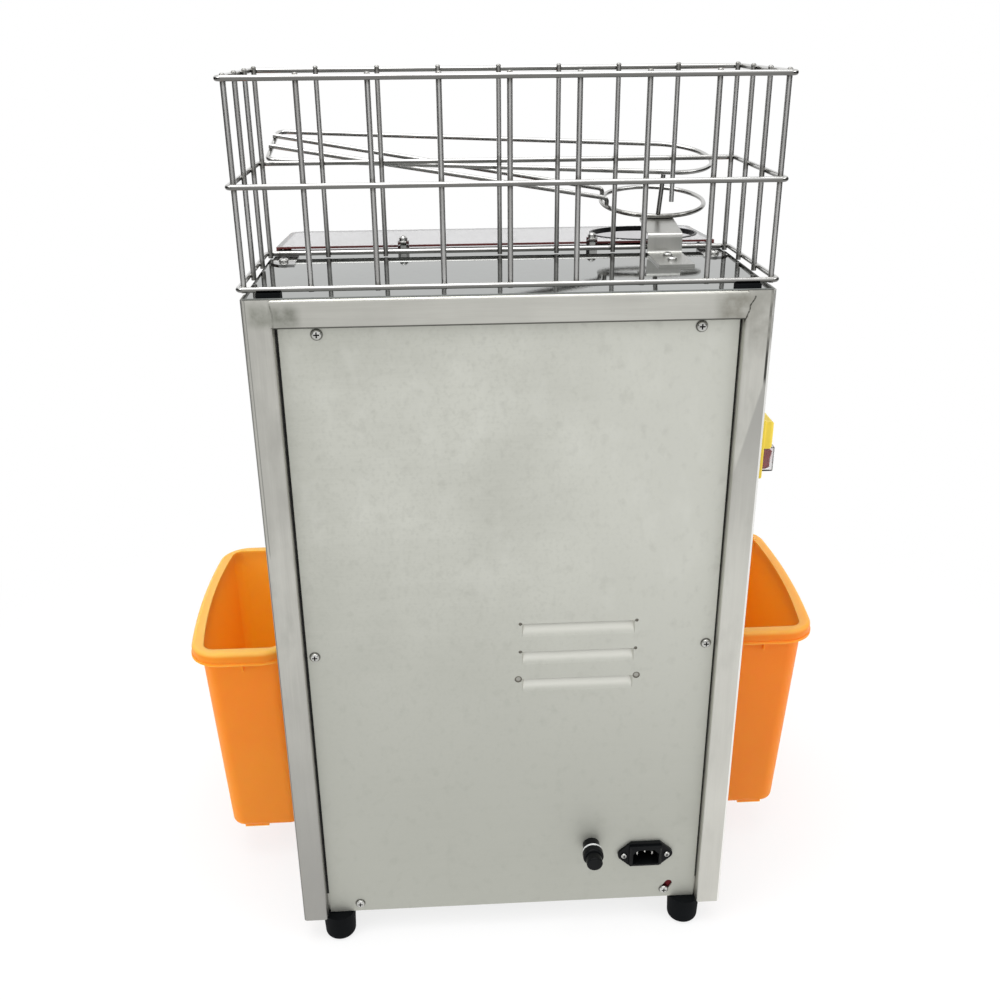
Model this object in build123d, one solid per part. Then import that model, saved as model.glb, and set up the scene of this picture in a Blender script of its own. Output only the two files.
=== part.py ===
from build123d import *
from math import acos, atan2, cos, degrees, pi, radians, sin, sqrt, tan
import os

# Automatic orange juicer, millimetres, +Z up, the front faces -Y.
# Depths are measured forward from the rear faces of the rear posts.
# Left and right are those of a person who faces the front, so left is -X.

# Clearances
FIT = 0.05              # between pieces that are fastened together
RUN = 0.08              # round a turning shaft
CLEAR = 0.3             # between pieces that slide or lift apart
WELD = 0.05             # how far a welded wire sinks into its neighbour

# Cabinet frame and panels
CAB_W = 390.0
CAB_D = 185.0
POST_H = 582.0
TUBE = 22.0
TUBE_WALL = 1.5
TUBE_R = 3.0
SHEET = 1.5
TOP_SHEET = 1.0
TOP_SHEET_IN = 2.0
WALL_SHEET = 2.0
PANEL_RECESS = 9.0
PANEL_GAP_LEFT = 1.3
PANEL_GAP_RIGHT = 1.9
PANEL_TOP_GAP = 0.9
SIDE_RECESS = 3.5
STRIP_W = 18.0
STRIP_T = 2.0

# Feet
FOOT_H = 27.0
FOOT_D = 30.0
FOOT_TAPER = 1.0
FOOT_EDGE = 5.0
FOOT_IN_X = 31.5
FOOT_IN_D = 14.0

# Screws and nuts
SCREW_D = 4.0
SCREW_HEAD_D = 8.0
SCREW_HEAD_H = 2.6
SCREW_L = 9.0
CROSS_W = 1.1
END_SCREW_X = 143.0
MID_SCREW_IN = 8.0
TOP_SCREW_DROP = 28.0
MID_SCREW_Z = 279.0
LOW_SCREW_Z = 10.0
SLOT_L = 15.0
SLOT_W = 7.0
SLOT_TURN = 58.0
NUT_X = 82.0
NUT_IN_D = 9.0
NUT_AF = 8.4
NUT_H = 7.4
NUT_DOME_R = 3.75
NUT_NECK = 2.4
STUD_D = 6.0
WASHER_D = 10.5
WASHER_T = 1.2

# Louvres in the rear panel
LOUVRES = 3
LOUVRE_X = -56.0
LOUVRE_TOP = 303.5
LOUVRE_PITCH = 27.0
LOUVRE_L = 95.0
LOUVRE_H = 12.5
LOUVRE_DEEP = 5.0
LOUVRE_BELLY = 0.38
LOUVRE_END = 3.0
END_MARK_R = 1.5
LOW_MARK_R = 3.2
END_MARK_DEEP = 0.6

# Mains inlet
INLET_X = -123.0
INLET_Z = 55.0
INLET_SCREW_X = 20.0
INLET_EAR_R = 5.5
INLET_W = 27.0
INLET_H = 27.0
FLANGE_T = 3.0
INLET_BLOCK_W = 30.0
INLET_BLOCK_H = 22.0
INLET_BLOCK_T = 4.0
INLET_BODY_D = 24.0
SOCKET_W = 24.0
SOCKET_H = 16.0
SOCKET_CUT = 4.5
SOCKET_DEEP = 18.0
PIN_W = 2.0
PIN_H = 4.0
PIN_PITCH = 7.0
PIN_RISE = 3.0
PIN_SHORT = 7.0
INLET_SCREW_D = 3.0
INLET_HEAD_D = 5.6
INLET_HEAD_H = 2.2

# Fuse holder
FUSE_X = -72.5
FUSE_Z = 67.0
FUSE_BARREL_R = 7.8
FUSE_BARREL_L = 9.0
FUSE_RING_R = 9.0
FUSE_RING_L = 2.2
FUSE_COLLAR_R = 9.4
FUSE_COLLAR_L = 7.0
FUSE_GRIP_R = 7.3
FUSE_GRIP_L = 8.5
FUSE_BODY_R = 6.2
FUSE_BODY_L = 30.0
FUSE_BORE_R = 4.4
FUSE_STEM_L = 24.0

# Switch on the left side
SWITCH_DROP = 139.0
SWITCH_D = 55.0
SWITCH_W = 40.0
SWITCH_H = 50.0
SWITCH_T = 16.5
SWITCH_TOP_H = 23.0
SWITCH_TOP_T = 7.0
SWITCH_EDGE = 3.0
SWITCH_BACK = 22.0
ROCKER_R = 9.0
ROCKER_W = 25.0
ROCKER_LEAN = 5.0
ROCKER_DISH = 0.8
ROCKER_PIVOT_OUT = 2.4
COVER_OUT = 10.5
COVER_T = 1.0
COVER_GAP = 1.6

# Fruit basket of round wire
WIRE = 4.0
BASKET_IN = 2.5
BASKET_BACK = 10.7
BASKET_DEEP = 138.0
RODS_WIDE = 9
RODS_DEEP = 4
LOW_RING_H = 5.2
MID_RING_H = 76.4
TOP_RING_H = 146.8
LOW_RING_DROP = 1.6
ROD_PROUD = 3.3
ROD_NUB = 2.8
SHORT_ROD_H = 41.5
PAD_IN = 7.0
PAD_W = 17.5
PAD_L = 12.0
TAB_T = 1.2
TAB_W = 20.0
TAB_L = 36.0
TAB_IN = 1.2
TAB_CUT = 7.0
TAB_SCREW_IN = 22.0

# Feeder of round wire on its bracket
FEED_X = -142.0
RING_AHEAD = 36.0
FEED_RING_R = 46.0
FEEDER_TILT = 8.0
BRACKET_X = -138.0
BRACKET_W = 29.0
BRACKET_T = 2.0
BRACKET_BASE = 52.0
BRACKET_H = 18.0
BRACKET_TO_RODS = 11.4
BRACKET_BEND = 3.0
BRACKET_PAST_RING = 2.0
BRACKET_SCREWS = (20.0, 38.0)
CHUTE_END_X = 192.0
GUARD_HIGH = 55.5
GUARD_LOW = 40.0
GUARD_LEAN = 3.0
GUARD_R = 41.0
GUARD_PAST = 9.0
GUARD_BEND = 8.0
POST_FOOT_X = -139.0
POST_HEAD_X = -142.0
RAIL_GAP = 30.0
RAIL_LOW = 9.5
RAIL_BEND = 4.0

# Gears and drums
MODULE = 4.0
GEAR_TEETH = 26
PINION_TEETH = 13
PRESSURE = 20.0
ADDENDUM = 0.85
DEDENDUM = 1.15
BACKLASH = 0.45
GEAR_W = 15.0
GEAR_HUB_R = 19.0
GEAR_HUB_L = 5.0
PINION_ANGLE = -54.0
DRUM_DROP = 187.0
DRUM_GAP = 1.0
DRUM_END_WALL = 6.0
DRUM_CHAMFER = 2.0
DRUM_OFF_WALL = 5.0
CUP_FLOOR = 4.0
PEEL_GAP = 6.0
MALE_HUB_R = 30.0
SHAFT_R = 10.0
PINION_SHAFT_R = 7.0
STEM_R = 5.0
KNOB_R = 17.0
KNOB_T = 9.0
KNOB_LOBES = 6
KNOB_NOTCH_R = 4.5

# Gear plate and bearings
GEAR_PLATE_T = 5.0
GEAR_PLATE_BACK = 48.0
GEAR_PLATE_SIDE = 64.0
GEAR_PLATE_UP = 72.0
GEAR_PLATE_DOWN = 55.0
GEAR_OFF_PLATE = 8.0
PLATE_POST_R = 8.0
PLATE_POST_IN = 14.0
BEARING_R = 16.0
BEARING_FLANGE_R = 24.0
BEARING_FLANGE_T = 4.0
BEARING_L = 14.0
PINION_BEARING_R = 12.0

# Gear motor
GEARBOX_GAP = 3.0
GEARBOX_L = 48.0
GEARBOX_EDGE = 6.0
MOTOR_L = 62.0
MOTOR_FINS = 16
FIN_H = 3.0
FIN_W = 3.0
MOTOR_CAP_L = 10.0

# Knife, peel ejectors and feed trough
KNIFE_T = 1.5
KNIFE_CLEAR = 1.25
KNIFE_BELOW_NIP = 14.0
KNIFE_H = 84.0
KNIFE_BEVEL = 6.0
BLADE_SHORT = 4.0
EJECT_T = 2.0
EJECT_CLEAR = 3.0
EJECT_ANGLE = 60.0
EJECT_GAP = 4.0
EJECT_IN = 9.0
TROUGH_T = 1.5
TROUGH_W = 97.0
TROUGH_WALL_H = 30.0
TROUGH_SLOPE = 17.0
TROUGH_END_X = 40.0
TROUGH_ABOVE = 18.0
TROUGH_IN = 8.0

# Hood
HOOD_IN = 2.0
HOOD_L = 111.0
HOOD_T = 4.0
HOOD_RISE = 2.5
HOOD_FALL = 5.5
HOOD_CORNER = 12.0
HOOD_BELOW = 10.0
SEAL_T = 1.7
SEAL_W = 1.6
HOLE_X = -139.0
HOLE_R = 50.0
HOLE_EDGE = 5.0
THROAT_T = 2.0
THROAT_L = 4.5
THROAT_PROUD = 0.6
WINDOW_ABOVE_RIM = 9.0
WINDOW_ABOVE_EJECTOR = 55.0
WINDOW_MARGIN = 12.0
WINDOW_R = 10.0

# Juice tank, strainer and tap
TANK_W = 300.0
TANK_L = 101.0
TANK_H = 65.0
TANK_T = 2.0
TANK_R = 5.0
TANK_BELOW = 8.0
TANK_OFF_WALL = 5.0
LIP_W = 8.0
LIP_T = 2.0
RAIL_H = 8.0
RAIL_SHORT = 8.0
STRAINER_T = 1.2
STRAINER_DEEP = 16.0
STRAINER_GAP = 1.5
STRAINER_HOLE_R = 2.0
STRAINER_PITCH = 10.0
TAP_RISE = 12.0
TAP_FLANGE_R = 14.0
TAP_FLANGE_T = 3.0
TAP_BARREL_R = 8.0
TAP_REACH = 19.0
TAP_BODY_R = 10.0
TAP_UP = 14.0
TAP_DOWN = 30.0
TAP_BORE_R = 5.0
LEVER_L = 42.0
LEVER_W = 9.0
LEVER_T = 5.0
PLUG_DEEP = 22.0

# Peel bins and their hangers
BIN_GAP = 3.5
BIN_W = 94.0
BIN_BOW = 7.5
BIN_FLARE = 5.0
BIN_L = 227.0
BIN_H = 219.0
BIN_BACK = 88.0
RIM_ABOVE_HOOD = 21.3
LEFT_BIN_UP = 3.0
BIN_T = 2.5
BIN_RIM_W = 8.0
BIN_SKIRT = 12.0
BIN_SKIRT_T = 2.0
BIN_RIM_R = 30.0
BIN_WALL_R = 14.0
BIN_RIM_EDGE = 4.0
BIN_BEAD = 0.8
BIN_BEAD_H = 2.5
BIN_LOW_EDGE = 7.0
BIN_TAPER_END = 18.0
BIN_TAPER_OUT = 6.0
BIN_TAPER_IN = 0.5
BIN_RIB_W = 1.6
BIN_RIB_OUT = 2.5
BIN_RIB_H = 11.0
BIN_FOOT_H = 4.5
BIN_FOOT_IN = 11.0
BIN_FOOT_L = 10.0
BIN_FOOT_W = 24.0
HANGER_T = 2.0
HANGER_L = 160.0
HANGER_IN = 2.0
HANGER_UNDER = 7.0

# Places worked out from the sizes above
HALF_W = CAB_W / 2
Z_BASE = FOOT_H
Z_TOP = FOOT_H + POST_H
Z_PLATE = Z_TOP + TOP_SHEET
PANEL_FACE = PANEL_RECESS
PANEL_BACK = PANEL_RECESS + SHEET
SIDE_FACE = HALF_W - SIDE_RECESS
WALL_FRONT = CAB_D + WALL_SHEET
POST_INNER = HALF_W - TUBE

PITCH_R = MODULE * GEAR_TEETH / 2
CUP_DRUM_R = PITCH_R - DRUM_GAP / 2
CUP_R = PITCH_R - SHAFT_R - CUP_FLOOR
BALL_R = CUP_R - PEEL_GAP
SWEEP_R = PITCH_R + BALL_R
UPPER_X = PITCH_R
UPPER_Z = Z_TOP - DRUM_DROP
LOWER_X = SWEEP_R + KNIFE_T / 2 + KNIFE_CLEAR
LOWER_Z = UPPER_Z - sqrt((2 * PITCH_R) ** 2 - (LOWER_X - UPPER_X) ** 2)
PINION_REACH = MODULE * (GEAR_TEETH + PINION_TEETH) / 2
PINION_X = -LOWER_X + PINION_REACH * cos(radians(PINION_ANGLE))
PINION_Z = LOWER_Z + PINION_REACH * sin(radians(PINION_ANGLE))
GEARBOX_HALF = LOWER_Z - PINION_Z - BEARING_FLANGE_R - GEARBOX_GAP
MOTOR_R = GEARBOX_HALF - FIN_H
DRUM_L = 2 * (CUP_R + DRUM_END_WALL)
DRUM_D0 = WALL_FRONT + DRUM_OFF_WALL
DRUM_D1 = DRUM_D0 + DRUM_L
DRUM_MID = (DRUM_D0 + DRUM_D1) / 2
GEAR_PLATE_D0 = CAB_D - GEAR_PLATE_BACK
GEAR_PLATE_D1 = GEAR_PLATE_D0 + GEAR_PLATE_T
GEAR_D0 = GEAR_PLATE_D1 + GEAR_OFF_PLATE
GEAR_D1 = GEAR_D0 + GEAR_W

HOOD_D0 = WALL_FRONT + CLEAR + SEAL_T
HOOD_D1 = HOOD_D0 + HOOD_L
HOOD_HALF = HALF_W - HOOD_IN
HOOD_REAR_Z = Z_PLATE + HOOD_RISE
HOOD_SLOPE = degrees(atan2(HOOD_FALL, HOOD_L))
HOLE_D = HOOD_D0 + HOLE_EDGE + HOLE_R
TANK_TOP = LOWER_Z - SWEEP_R - TANK_BELOW
TANK_BASE = TANK_TOP - TANK_H
TANK_D0 = WALL_FRONT + TANK_OFF_WALL
TANK_D1 = TANK_D0 + TANK_L
HOOD_LOW = TANK_TOP + HOOD_BELOW
TAP_Z = TANK_BASE + TAP_RISE
TAP_D = TANK_D1 + TAP_REACH
RIM_Z = HOOD_LOW + RIM_ABOVE_HOOD
BIN_LIFT = RIM_Z - BIN_H
BIN_X0 = HALF_W + BIN_GAP
EJECT_OUT_X = HOOD_HALF - HOOD_T - EJECT_IN

ROCKER_Y = SWITCH_H / 2 - SHEET - SWITCH_TOP_H - ROCKER_R - COVER_GAP - CLEAR
BOTTOM_RING_Z = Z_PLATE + LOW_RING_H
ROD_HALF = HALF_W - BASKET_IN
FRONT_RODS = BASKET_BACK + BASKET_DEEP
RING_OUT = WIRE - WELD
WEB_D = FRONT_RODS - WIRE / 2 - BRACKET_TO_RODS
FLANGE_Z = Z_PLATE + BRACKET_H
RING_U = (CAB_D + RING_AHEAD - WEB_D) / cos(radians(FEEDER_TILT))

# The origin lies on the table, midway between the fuse cap's end and the tap's front.
FUSE_END = PANEL_FACE - FUSE_BARREL_L - FUSE_RING_L - FUSE_COLLAR_L - FUSE_GRIP_L
FRONT_END = TAP_D + TAP_BODY_R
REAR_Y = (FUSE_END + FRONT_END) / 2

BASE = (Align.CENTER, Align.CENTER, Align.MIN)


# Helpers
def group(pieces):
    """Separate solids that share one node."""
    return Compound([piece.solid() for piece in pieces])


def block(x, d, z):
    """Box between two x limits, two depths and two heights."""
    middle = Pos((x[0] + x[1]) / 2, REAR_Y - (d[0] + d[1]) / 2, (z[0] + z[1]) / 2)
    return middle * Box(x[1] - x[0], d[1] - d[0], z[1] - z[0])


def facing_front(d, x=0.0, z=0.0):
    """Plane whose own axes are x and z, looking forward from a depth."""
    return Plane(origin=(x, REAR_Y - d, z), x_dir=(1, 0, 0), z_dir=(0, -1, 0))


def facing_rear(d, x=0.0, z=0.0):
    """Plane whose own axes are -x and z, looking backward from a depth."""
    return Plane(origin=(x, REAR_Y - d, z), x_dir=(-1, 0, 0), z_dir=(0, 1, 0))


def side_view(x):
    """Plane whose own axes are depth and height, and whose normal is -X."""
    return Plane(origin=(x, REAR_Y, 0), x_dir=(0, -1, 0), z_dir=(-1, 0, 0))


def bar(x, z, d, radius):
    """Round bar that runs forward between two depths."""
    return facing_front(d[0], x, z) * Cylinder(radius, d[1] - d[0], align=BASE)


def wire_along(path):
    """Round wire along a path."""
    return sweep(Plane(origin=path @ 0, z_dir=path % 0) * Circle(WIRE / 2), path=path)


def outline(points):
    """Flat face inside a closed line of points."""
    return make_face(Polyline(*points, close=True))


def pan_screw(shank_d, head_d, head_h, length):
    """Cross-head screw along +Z, with the underside of its head at z = 0."""
    head = Cylinder(head_d / 2, head_h, align=BASE)
    head = fillet(head.edges().group_by(Axis.Z)[-1], head_h * 0.7)
    for turn in (0, 90):
        head -= Pos(0, 0, head_h) * Rot(0, 0, turn) * Box(head_d * 0.55, CROSS_W, head_h)
    return head + Cylinder(shank_d / 2, length, align=(Align.CENTER, Align.CENTER, Align.MAX))


def screw():
    """The screw that holds the panels, tabs and bracket."""
    return pan_screw(SCREW_D, SCREW_HEAD_D, SCREW_HEAD_H, SCREW_L)


# Cabinet frame
def tube_face():
    """Section of the square tube."""
    inner = TUBE - 2 * TUBE_WALL
    inner_r = max(TUBE_R - TUBE_WALL, 0.2)
    return RectangleRounded(TUBE, TUBE, TUBE_R) - RectangleRounded(inner, inner, inner_r)


def frame_posts():
    """Four upright tubes, closed at the top."""
    post = extrude(tube_face(), POST_H - TUBE_WALL)
    cap = extrude(RectangleRounded(TUBE, TUBE, TUBE_R), TUBE_WALL)
    post = post + Pos(0, 0, POST_H - TUBE_WALL) * cap
    posts = []
    for x in (-1, 1):
        for d in (TUBE / 2, CAB_D - TUBE / 2):
            posts.append(Pos(x * (HALF_W - TUBE / 2), REAR_Y - d, Z_BASE) * post)
    return group(posts)


def post_forms():
    """Outer forms of the four posts, a fit larger all round."""
    wide = TUBE + 2 * FIT
    form = extrude(RectangleRounded(wide, wide, TUBE_R + FIT), POST_H)
    forms = []
    for x in (-1, 1):
        for d in (TUBE / 2, CAB_D - TUBE / 2):
            forms.append(Pos(x * (HALF_W - TUBE / 2), REAR_Y - d, Z_BASE) * form)
    return forms


def frame_rails():
    """Rails between the posts; those flush with a post's face run on to close its rounded corner."""
    across = Rot(0, 90, 0) * extrude(tube_face(), 2 * POST_INNER)
    flush = Rot(0, 90, 0) * extrude(tube_face(), 2 * (POST_INNER + TUBE_R))
    along = Rot(90, 0, 0) * extrude(tube_face(), CAB_D - 2 * TUBE)
    rails = []
    for z in (Z_TOP - TUBE / 2, Z_BASE + TUBE / 2):
        for x in (-1, 1):
            rails.append(Pos(x * (HALF_W - TUBE / 2), REAR_Y - TUBE, z) * along)
    for d, z in ((TUBE / 2, Z_TOP), (CAB_D - TUBE / 2, Z_TOP), (CAB_D - TUBE / 2, Z_BASE + TUBE)):
        rails.append(Pos(-POST_INNER - TUBE_R, REAR_Y - d, z - TUBE / 2) * flush)
    rails.append(Pos(-POST_INNER, REAR_Y - PANEL_BACK - TUBE / 2, Z_BASE + TUBE / 2) * across)
    cut = post_forms()
    for x, z in panel_screw_places()[-2:]:
        cut.append(bar(x, z, (PANEL_FACE, PANEL_BACK + TUBE), SCREW_D / 2 + FIT))
    for x, d, z in top_screw_places()[:2]:
        cut.append(Pos(x, REAR_Y - d, Z_TOP) * Cylinder(SCREW_D / 2 + FIT, TUBE))
    for x in (-NUT_X, NUT_X):
        cut.append(Pos(x, REAR_Y - CAB_D + NUT_IN_D, Z_TOP) * Cylinder(STUD_D / 2 + FIT, TUBE))
    return group([rail - cut for rail in rails])


def panel_strips():
    """Strips welded inside the frame, which the rear panel is screwed to."""
    depth = (PANEL_BACK, PANEL_BACK + STRIP_T)
    top = Z_TOP - TUBE
    low = top - STRIP_W
    strips = [block((-POST_INNER, POST_INNER), depth, (low, top))]
    for x in (-1, 1):
        limits = sorted((x * POST_INNER, x * (POST_INNER - STRIP_W)))
        strips.append(block(limits, depth, (Z_BASE + TUBE, low)))
    cut = []
    for x, z in panel_screw_places():
        cut.append(bar(x, z, (PANEL_FACE, PANEL_BACK + 2 * STRIP_T), SCREW_D / 2 + FIT))
    return group([strip - cut for strip in strips])


def panel_screw_places():
    """Places of the rear panel's screws, x and z."""
    rows = (
        (END_SCREW_X, Z_TOP - TOP_SCREW_DROP),
        (POST_INNER - MID_SCREW_IN, Z_BASE + MID_SCREW_Z),
        (END_SCREW_X, Z_BASE + LOW_SCREW_Z),
    )
    return [(side * x, z) for x, z in rows for side in (-1, 1)]


def louvre_hollow(top):
    """Hollow of a louvre: a slope that sinks from the panel's face to a step at its upper edge."""
    low = top - LOUVRE_H
    floor = PANEL_FACE + LOUVRE_DEEP
    belly = (PANEL_FACE + LOUVRE_BELLY * LOUVRE_DEEP, low + LOUVRE_H / 2)
    profile = make_face(
        [
            ThreePointArc((PANEL_FACE, low), belly, (floor, top)),
            Line((floor, top), (PANEL_FACE, top)),
            Line((PANEL_FACE, top), (PANEL_FACE, low)),
        ]
    )
    right = LOUVRE_X + LOUVRE_L / 2
    left = LOUVRE_X - LOUVRE_L / 2
    plan = outline(
        [
            (left, REAR_Y - PANEL_FACE),
            (right, REAR_Y - PANEL_FACE),
            (right - LOUVRE_END, REAR_Y - floor),
            (left + LOUVRE_END, REAR_Y - floor),
        ]
    )
    across = extrude(side_view(right) * profile, LOUVRE_L)
    return across & (Pos(0, 0, low) * extrude(plan, LOUVRE_H, dir=(0, 0, 1)))


def rear_panel():
    """Rear sheet with pressed-in louvres, screw holes and the inlet and fuse openings."""
    across = (PANEL_GAP_LEFT - POST_INNER, POST_INNER - PANEL_GAP_RIGHT)
    height = (Z_BASE + PANEL_TOP_GAP, Z_TOP - TUBE - PANEL_TOP_GAP)
    panel = block(across, (PANEL_FACE, PANEL_BACK), height)
    through = (PANEL_FACE - SHEET, PANEL_BACK + SHEET)
    for number in range(LOUVRES):
        top = Z_BASE + LOUVRE_TOP - number * LOUVRE_PITCH
        hollow = louvre_hollow(top)
        panel = panel + Pos(0, -SHEET, 0) * hollow - hollow
        mark = LOW_MARK_R if number == LOUVRES - 1 else END_MARK_R
        for side in (-1, 1):
            x = LOUVRE_X + side * (LOUVRE_L / 2 + mark)
            panel -= bar(x, top, (PANEL_FACE - SHEET, PANEL_FACE + END_MARK_DEEP), mark)
    for x, z in panel_screw_places():
        panel -= bar(x, z, through, SCREW_D / 2 + CLEAR)
    reach = (SLOT_L - SLOT_W) / 2
    slot_x = -END_SCREW_X - reach * cos(radians(SLOT_TURN))
    slot_z = Z_BASE + LOW_SCREW_Z + reach * sin(radians(SLOT_TURN))
    slot_at = facing_rear(PANEL_BACK + SHEET, slot_x, slot_z)
    panel -= extrude(slot_at * Rot(0, 0, SLOT_TURN) * SlotOverall(SLOT_L, SLOT_W), 3 * SHEET)
    inlet = (INLET_X - INLET_W / 2 - CLEAR, INLET_X + INLET_W / 2 + CLEAR)
    tall = INLET_BLOCK_H / 2
    panel -= block(inlet, through, (Z_BASE + INLET_Z - tall - CLEAR, Z_BASE + INLET_Z + tall + CLEAR))
    for side in (-1, 1):
        panel -= bar(INLET_X + side * INLET_SCREW_X, Z_BASE + INLET_Z, through, INLET_SCREW_D / 2 + FIT)
    panel -= bar(FUSE_X, Z_BASE + FUSE_Z, through, FUSE_BODY_R + CLEAR)
    return panel


def side_panels():
    """Two side sheets between the posts; the left one has the switch opening."""
    depth = (TUBE, CAB_D - TUBE)
    height = (Z_BASE + TUBE, Z_TOP - TUBE)
    right = block((SIDE_FACE - SHEET, SIDE_FACE), depth, height)
    left = block((-SIDE_FACE, -SIDE_FACE + SHEET), depth, height)
    wide = SWITCH_W / 2 - COVER_GAP + CLEAR
    tall = SWITCH_H / 2 - COVER_GAP + CLEAR
    middle = Z_TOP - SWITCH_DROP
    hole = ((SWITCH_D - wide, SWITCH_D + wide), (middle - tall, middle + tall))
    left -= block((-HALF_W, -SIDE_FACE + 2 * SHEET), hole[0], hole[1])
    return group([left, right])


def top_screw_places():
    """Places of the screws through the top plate: x, depth and height of the head's seat."""
    places = []
    for x in (-1, 1):
        across = ROD_HALF - WIRE / 2 - TAB_IN - TAB_W / 2
        places.append((x * across, FRONT_RODS + RING_OUT - TAB_SCREW_IN, Z_PLATE + TAB_T))
    for along in BRACKET_SCREWS:
        places.append((BRACKET_X, WEB_D - BRACKET_BASE + along, Z_PLATE + BRACKET_T))
    return places


def top_plate():
    """Polished sheet over the frame's top."""
    half = HALF_W - TOP_SHEET_IN
    plate = block((-half, half), (TOP_SHEET_IN, WALL_FRONT), (Z_TOP, Z_PLATE))
    for x, d, z in top_screw_places():
        plate -= Pos(x, REAR_Y - d, Z_TOP) * Cylinder(SCREW_D / 2 + FIT, 3 * TOP_SHEET)
    for x in (-NUT_X, NUT_X):
        plate -= Pos(x, REAR_Y - CAB_D + NUT_IN_D, Z_TOP) * Cylinder(STUD_D / 2 + FIT, 3 * TOP_SHEET)
    return plate


def chamber_wall():
    """Front sheet of the cabinet, which the drums stand in front of."""
    wall = block((-HALF_W, HALF_W), (CAB_D, WALL_FRONT), (Z_BASE, Z_TOP))
    for x, z in drum_axes().values():
        wall -= bar(x, z, (CAB_D - WALL_SHEET, WALL_FRONT + WALL_SHEET), BEARING_R + FIT)
    return wall


def base_plate():
    """Sheet on the bottom rails."""
    half = POST_INNER - CLEAR
    return block((-half, half), (PANEL_BACK + STRIP_T, CAB_D), (Z_BASE + TUBE, Z_BASE + TUBE + SHEET))


def rubber_feet():
    """Four round feet that narrow a little towards the table."""
    foot = Cone(FOOT_D / 2 - FOOT_TAPER, FOOT_D / 2, FOOT_H, align=BASE)
    foot = fillet(foot.edges().group_by(Axis.Z)[0], FOOT_EDGE)
    foot -= Cylinder(FOOT_D / 5, FOOT_H / 3, align=BASE)
    feet = []
    for x in (-1, 1):
        for d in (FOOT_IN_D, CAB_D - FOOT_IN_D):
            feet.append(Pos(x * (HALF_W - FOOT_IN_X), REAR_Y - d, 0) * foot)
    return group(feet)


def rear_screws():
    """Screws of the rear panel and of the mains inlet."""
    screws = []
    for x, z in panel_screw_places():
        screws.append(facing_rear(PANEL_FACE, x, z) * screw())
    for side in (-1, 1):
        place = facing_rear(PANEL_FACE - FLANGE_T, INLET_X + side * INLET_SCREW_X, Z_BASE + INLET_Z)
        screws.append(place * pan_screw(INLET_SCREW_D, INLET_HEAD_D, INLET_HEAD_H, SCREW_L))
    return group(screws)


def top_screws():
    """Screws of the basket's tabs and of the feeder bracket."""
    return group([Pos(x, REAR_Y - d, z) * screw() for x, d, z in top_screw_places()])


def acorn_nuts():
    """Two domed nuts on studs, each with a washer, at the top plate's front."""
    nut = Pos(0, 0, WASHER_T) * extrude(RegularPolygon(NUT_AF / 2, 6, major_radius=False), NUT_H)
    nut += Pos(0, 0, WASHER_T + NUT_H) * Cylinder(NUT_DOME_R, NUT_NECK, align=BASE)
    nut += Pos(0, 0, WASHER_T + NUT_H + NUT_NECK) * Sphere(NUT_DOME_R, arc_size1=0)
    nut += Pos(0, 0, WASHER_T) * Cylinder(STUD_D / 2, SCREW_L, align=(Align.CENTER, Align.CENTER, Align.MAX))
    washer = Cylinder(WASHER_D / 2, WASHER_T, align=BASE) - Cylinder(STUD_D / 2 + FIT, 3 * WASHER_T)
    pieces = []
    for x in (-NUT_X, NUT_X):
        place = Pos(x, REAR_Y - CAB_D + NUT_IN_D, Z_PLATE)
        pieces += [place * nut, place * washer]
    return group(pieces)


# Rear fittings
def inlet_socket():
    """Three-pin mains inlet with two screw ears."""
    ears = []
    for side in (-1, 1):
        ears += (Pos(side * INLET_SCREW_X, 0) * Circle(INLET_EAR_R)).edges()
    ears += Rectangle(INLET_W, INLET_H).edges()
    flange = extrude(make_hull(ears), FLANGE_T)
    raised = Pos(0, 0, FLANGE_T) * Box(INLET_BLOCK_W, INLET_BLOCK_H, INLET_BLOCK_T, align=BASE)
    raised = chamfer(raised.edges().group_by(Axis.Z)[-1], INLET_BLOCK_T / 2)
    body = Box(INLET_W, INLET_BLOCK_H, INLET_BODY_D, align=(Align.CENTER, Align.CENTER, Align.MAX))
    socket = Rectangle(SOCKET_W, SOCKET_H)
    socket = chamfer(socket.vertices().group_by(Axis.Y)[-1], SOCKET_CUT)
    hollow = Pos(0, 0, FLANGE_T + INLET_BLOCK_T - SOCKET_DEEP) * extrude(socket, SOCKET_DEEP)
    inlet = flange + raised + body - hollow
    for side in (-1, 1):
        inlet -= Pos(side * INLET_SCREW_X, 0) * Cylinder(INLET_SCREW_D / 2 + FIT, 3 * FLANGE_T)
    return facing_rear(PANEL_FACE, INLET_X, Z_BASE + INLET_Z) * inlet


def inlet_pins():
    """Three flat pins on the floor of the inlet's socket."""
    front = FLANGE_T + INLET_BLOCK_T
    floor = front - SOCKET_DEEP
    pins = []
    for column, rise in ((-1, 0.0), (0, PIN_RISE), (1, 0.0)):
        pin = Box(PIN_W, PIN_H, SOCKET_DEEP - PIN_SHORT, align=BASE)
        pin = chamfer(pin.edges().group_by(Axis.Z)[-1], PIN_W / 4)
        place = Pos(column * PIN_PITCH, rise - PIN_RISE / 2, floor)
        pins.append(facing_rear(PANEL_FACE, INLET_X, Z_BASE + INLET_Z) * place * pin)
    return group(pins)


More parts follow.
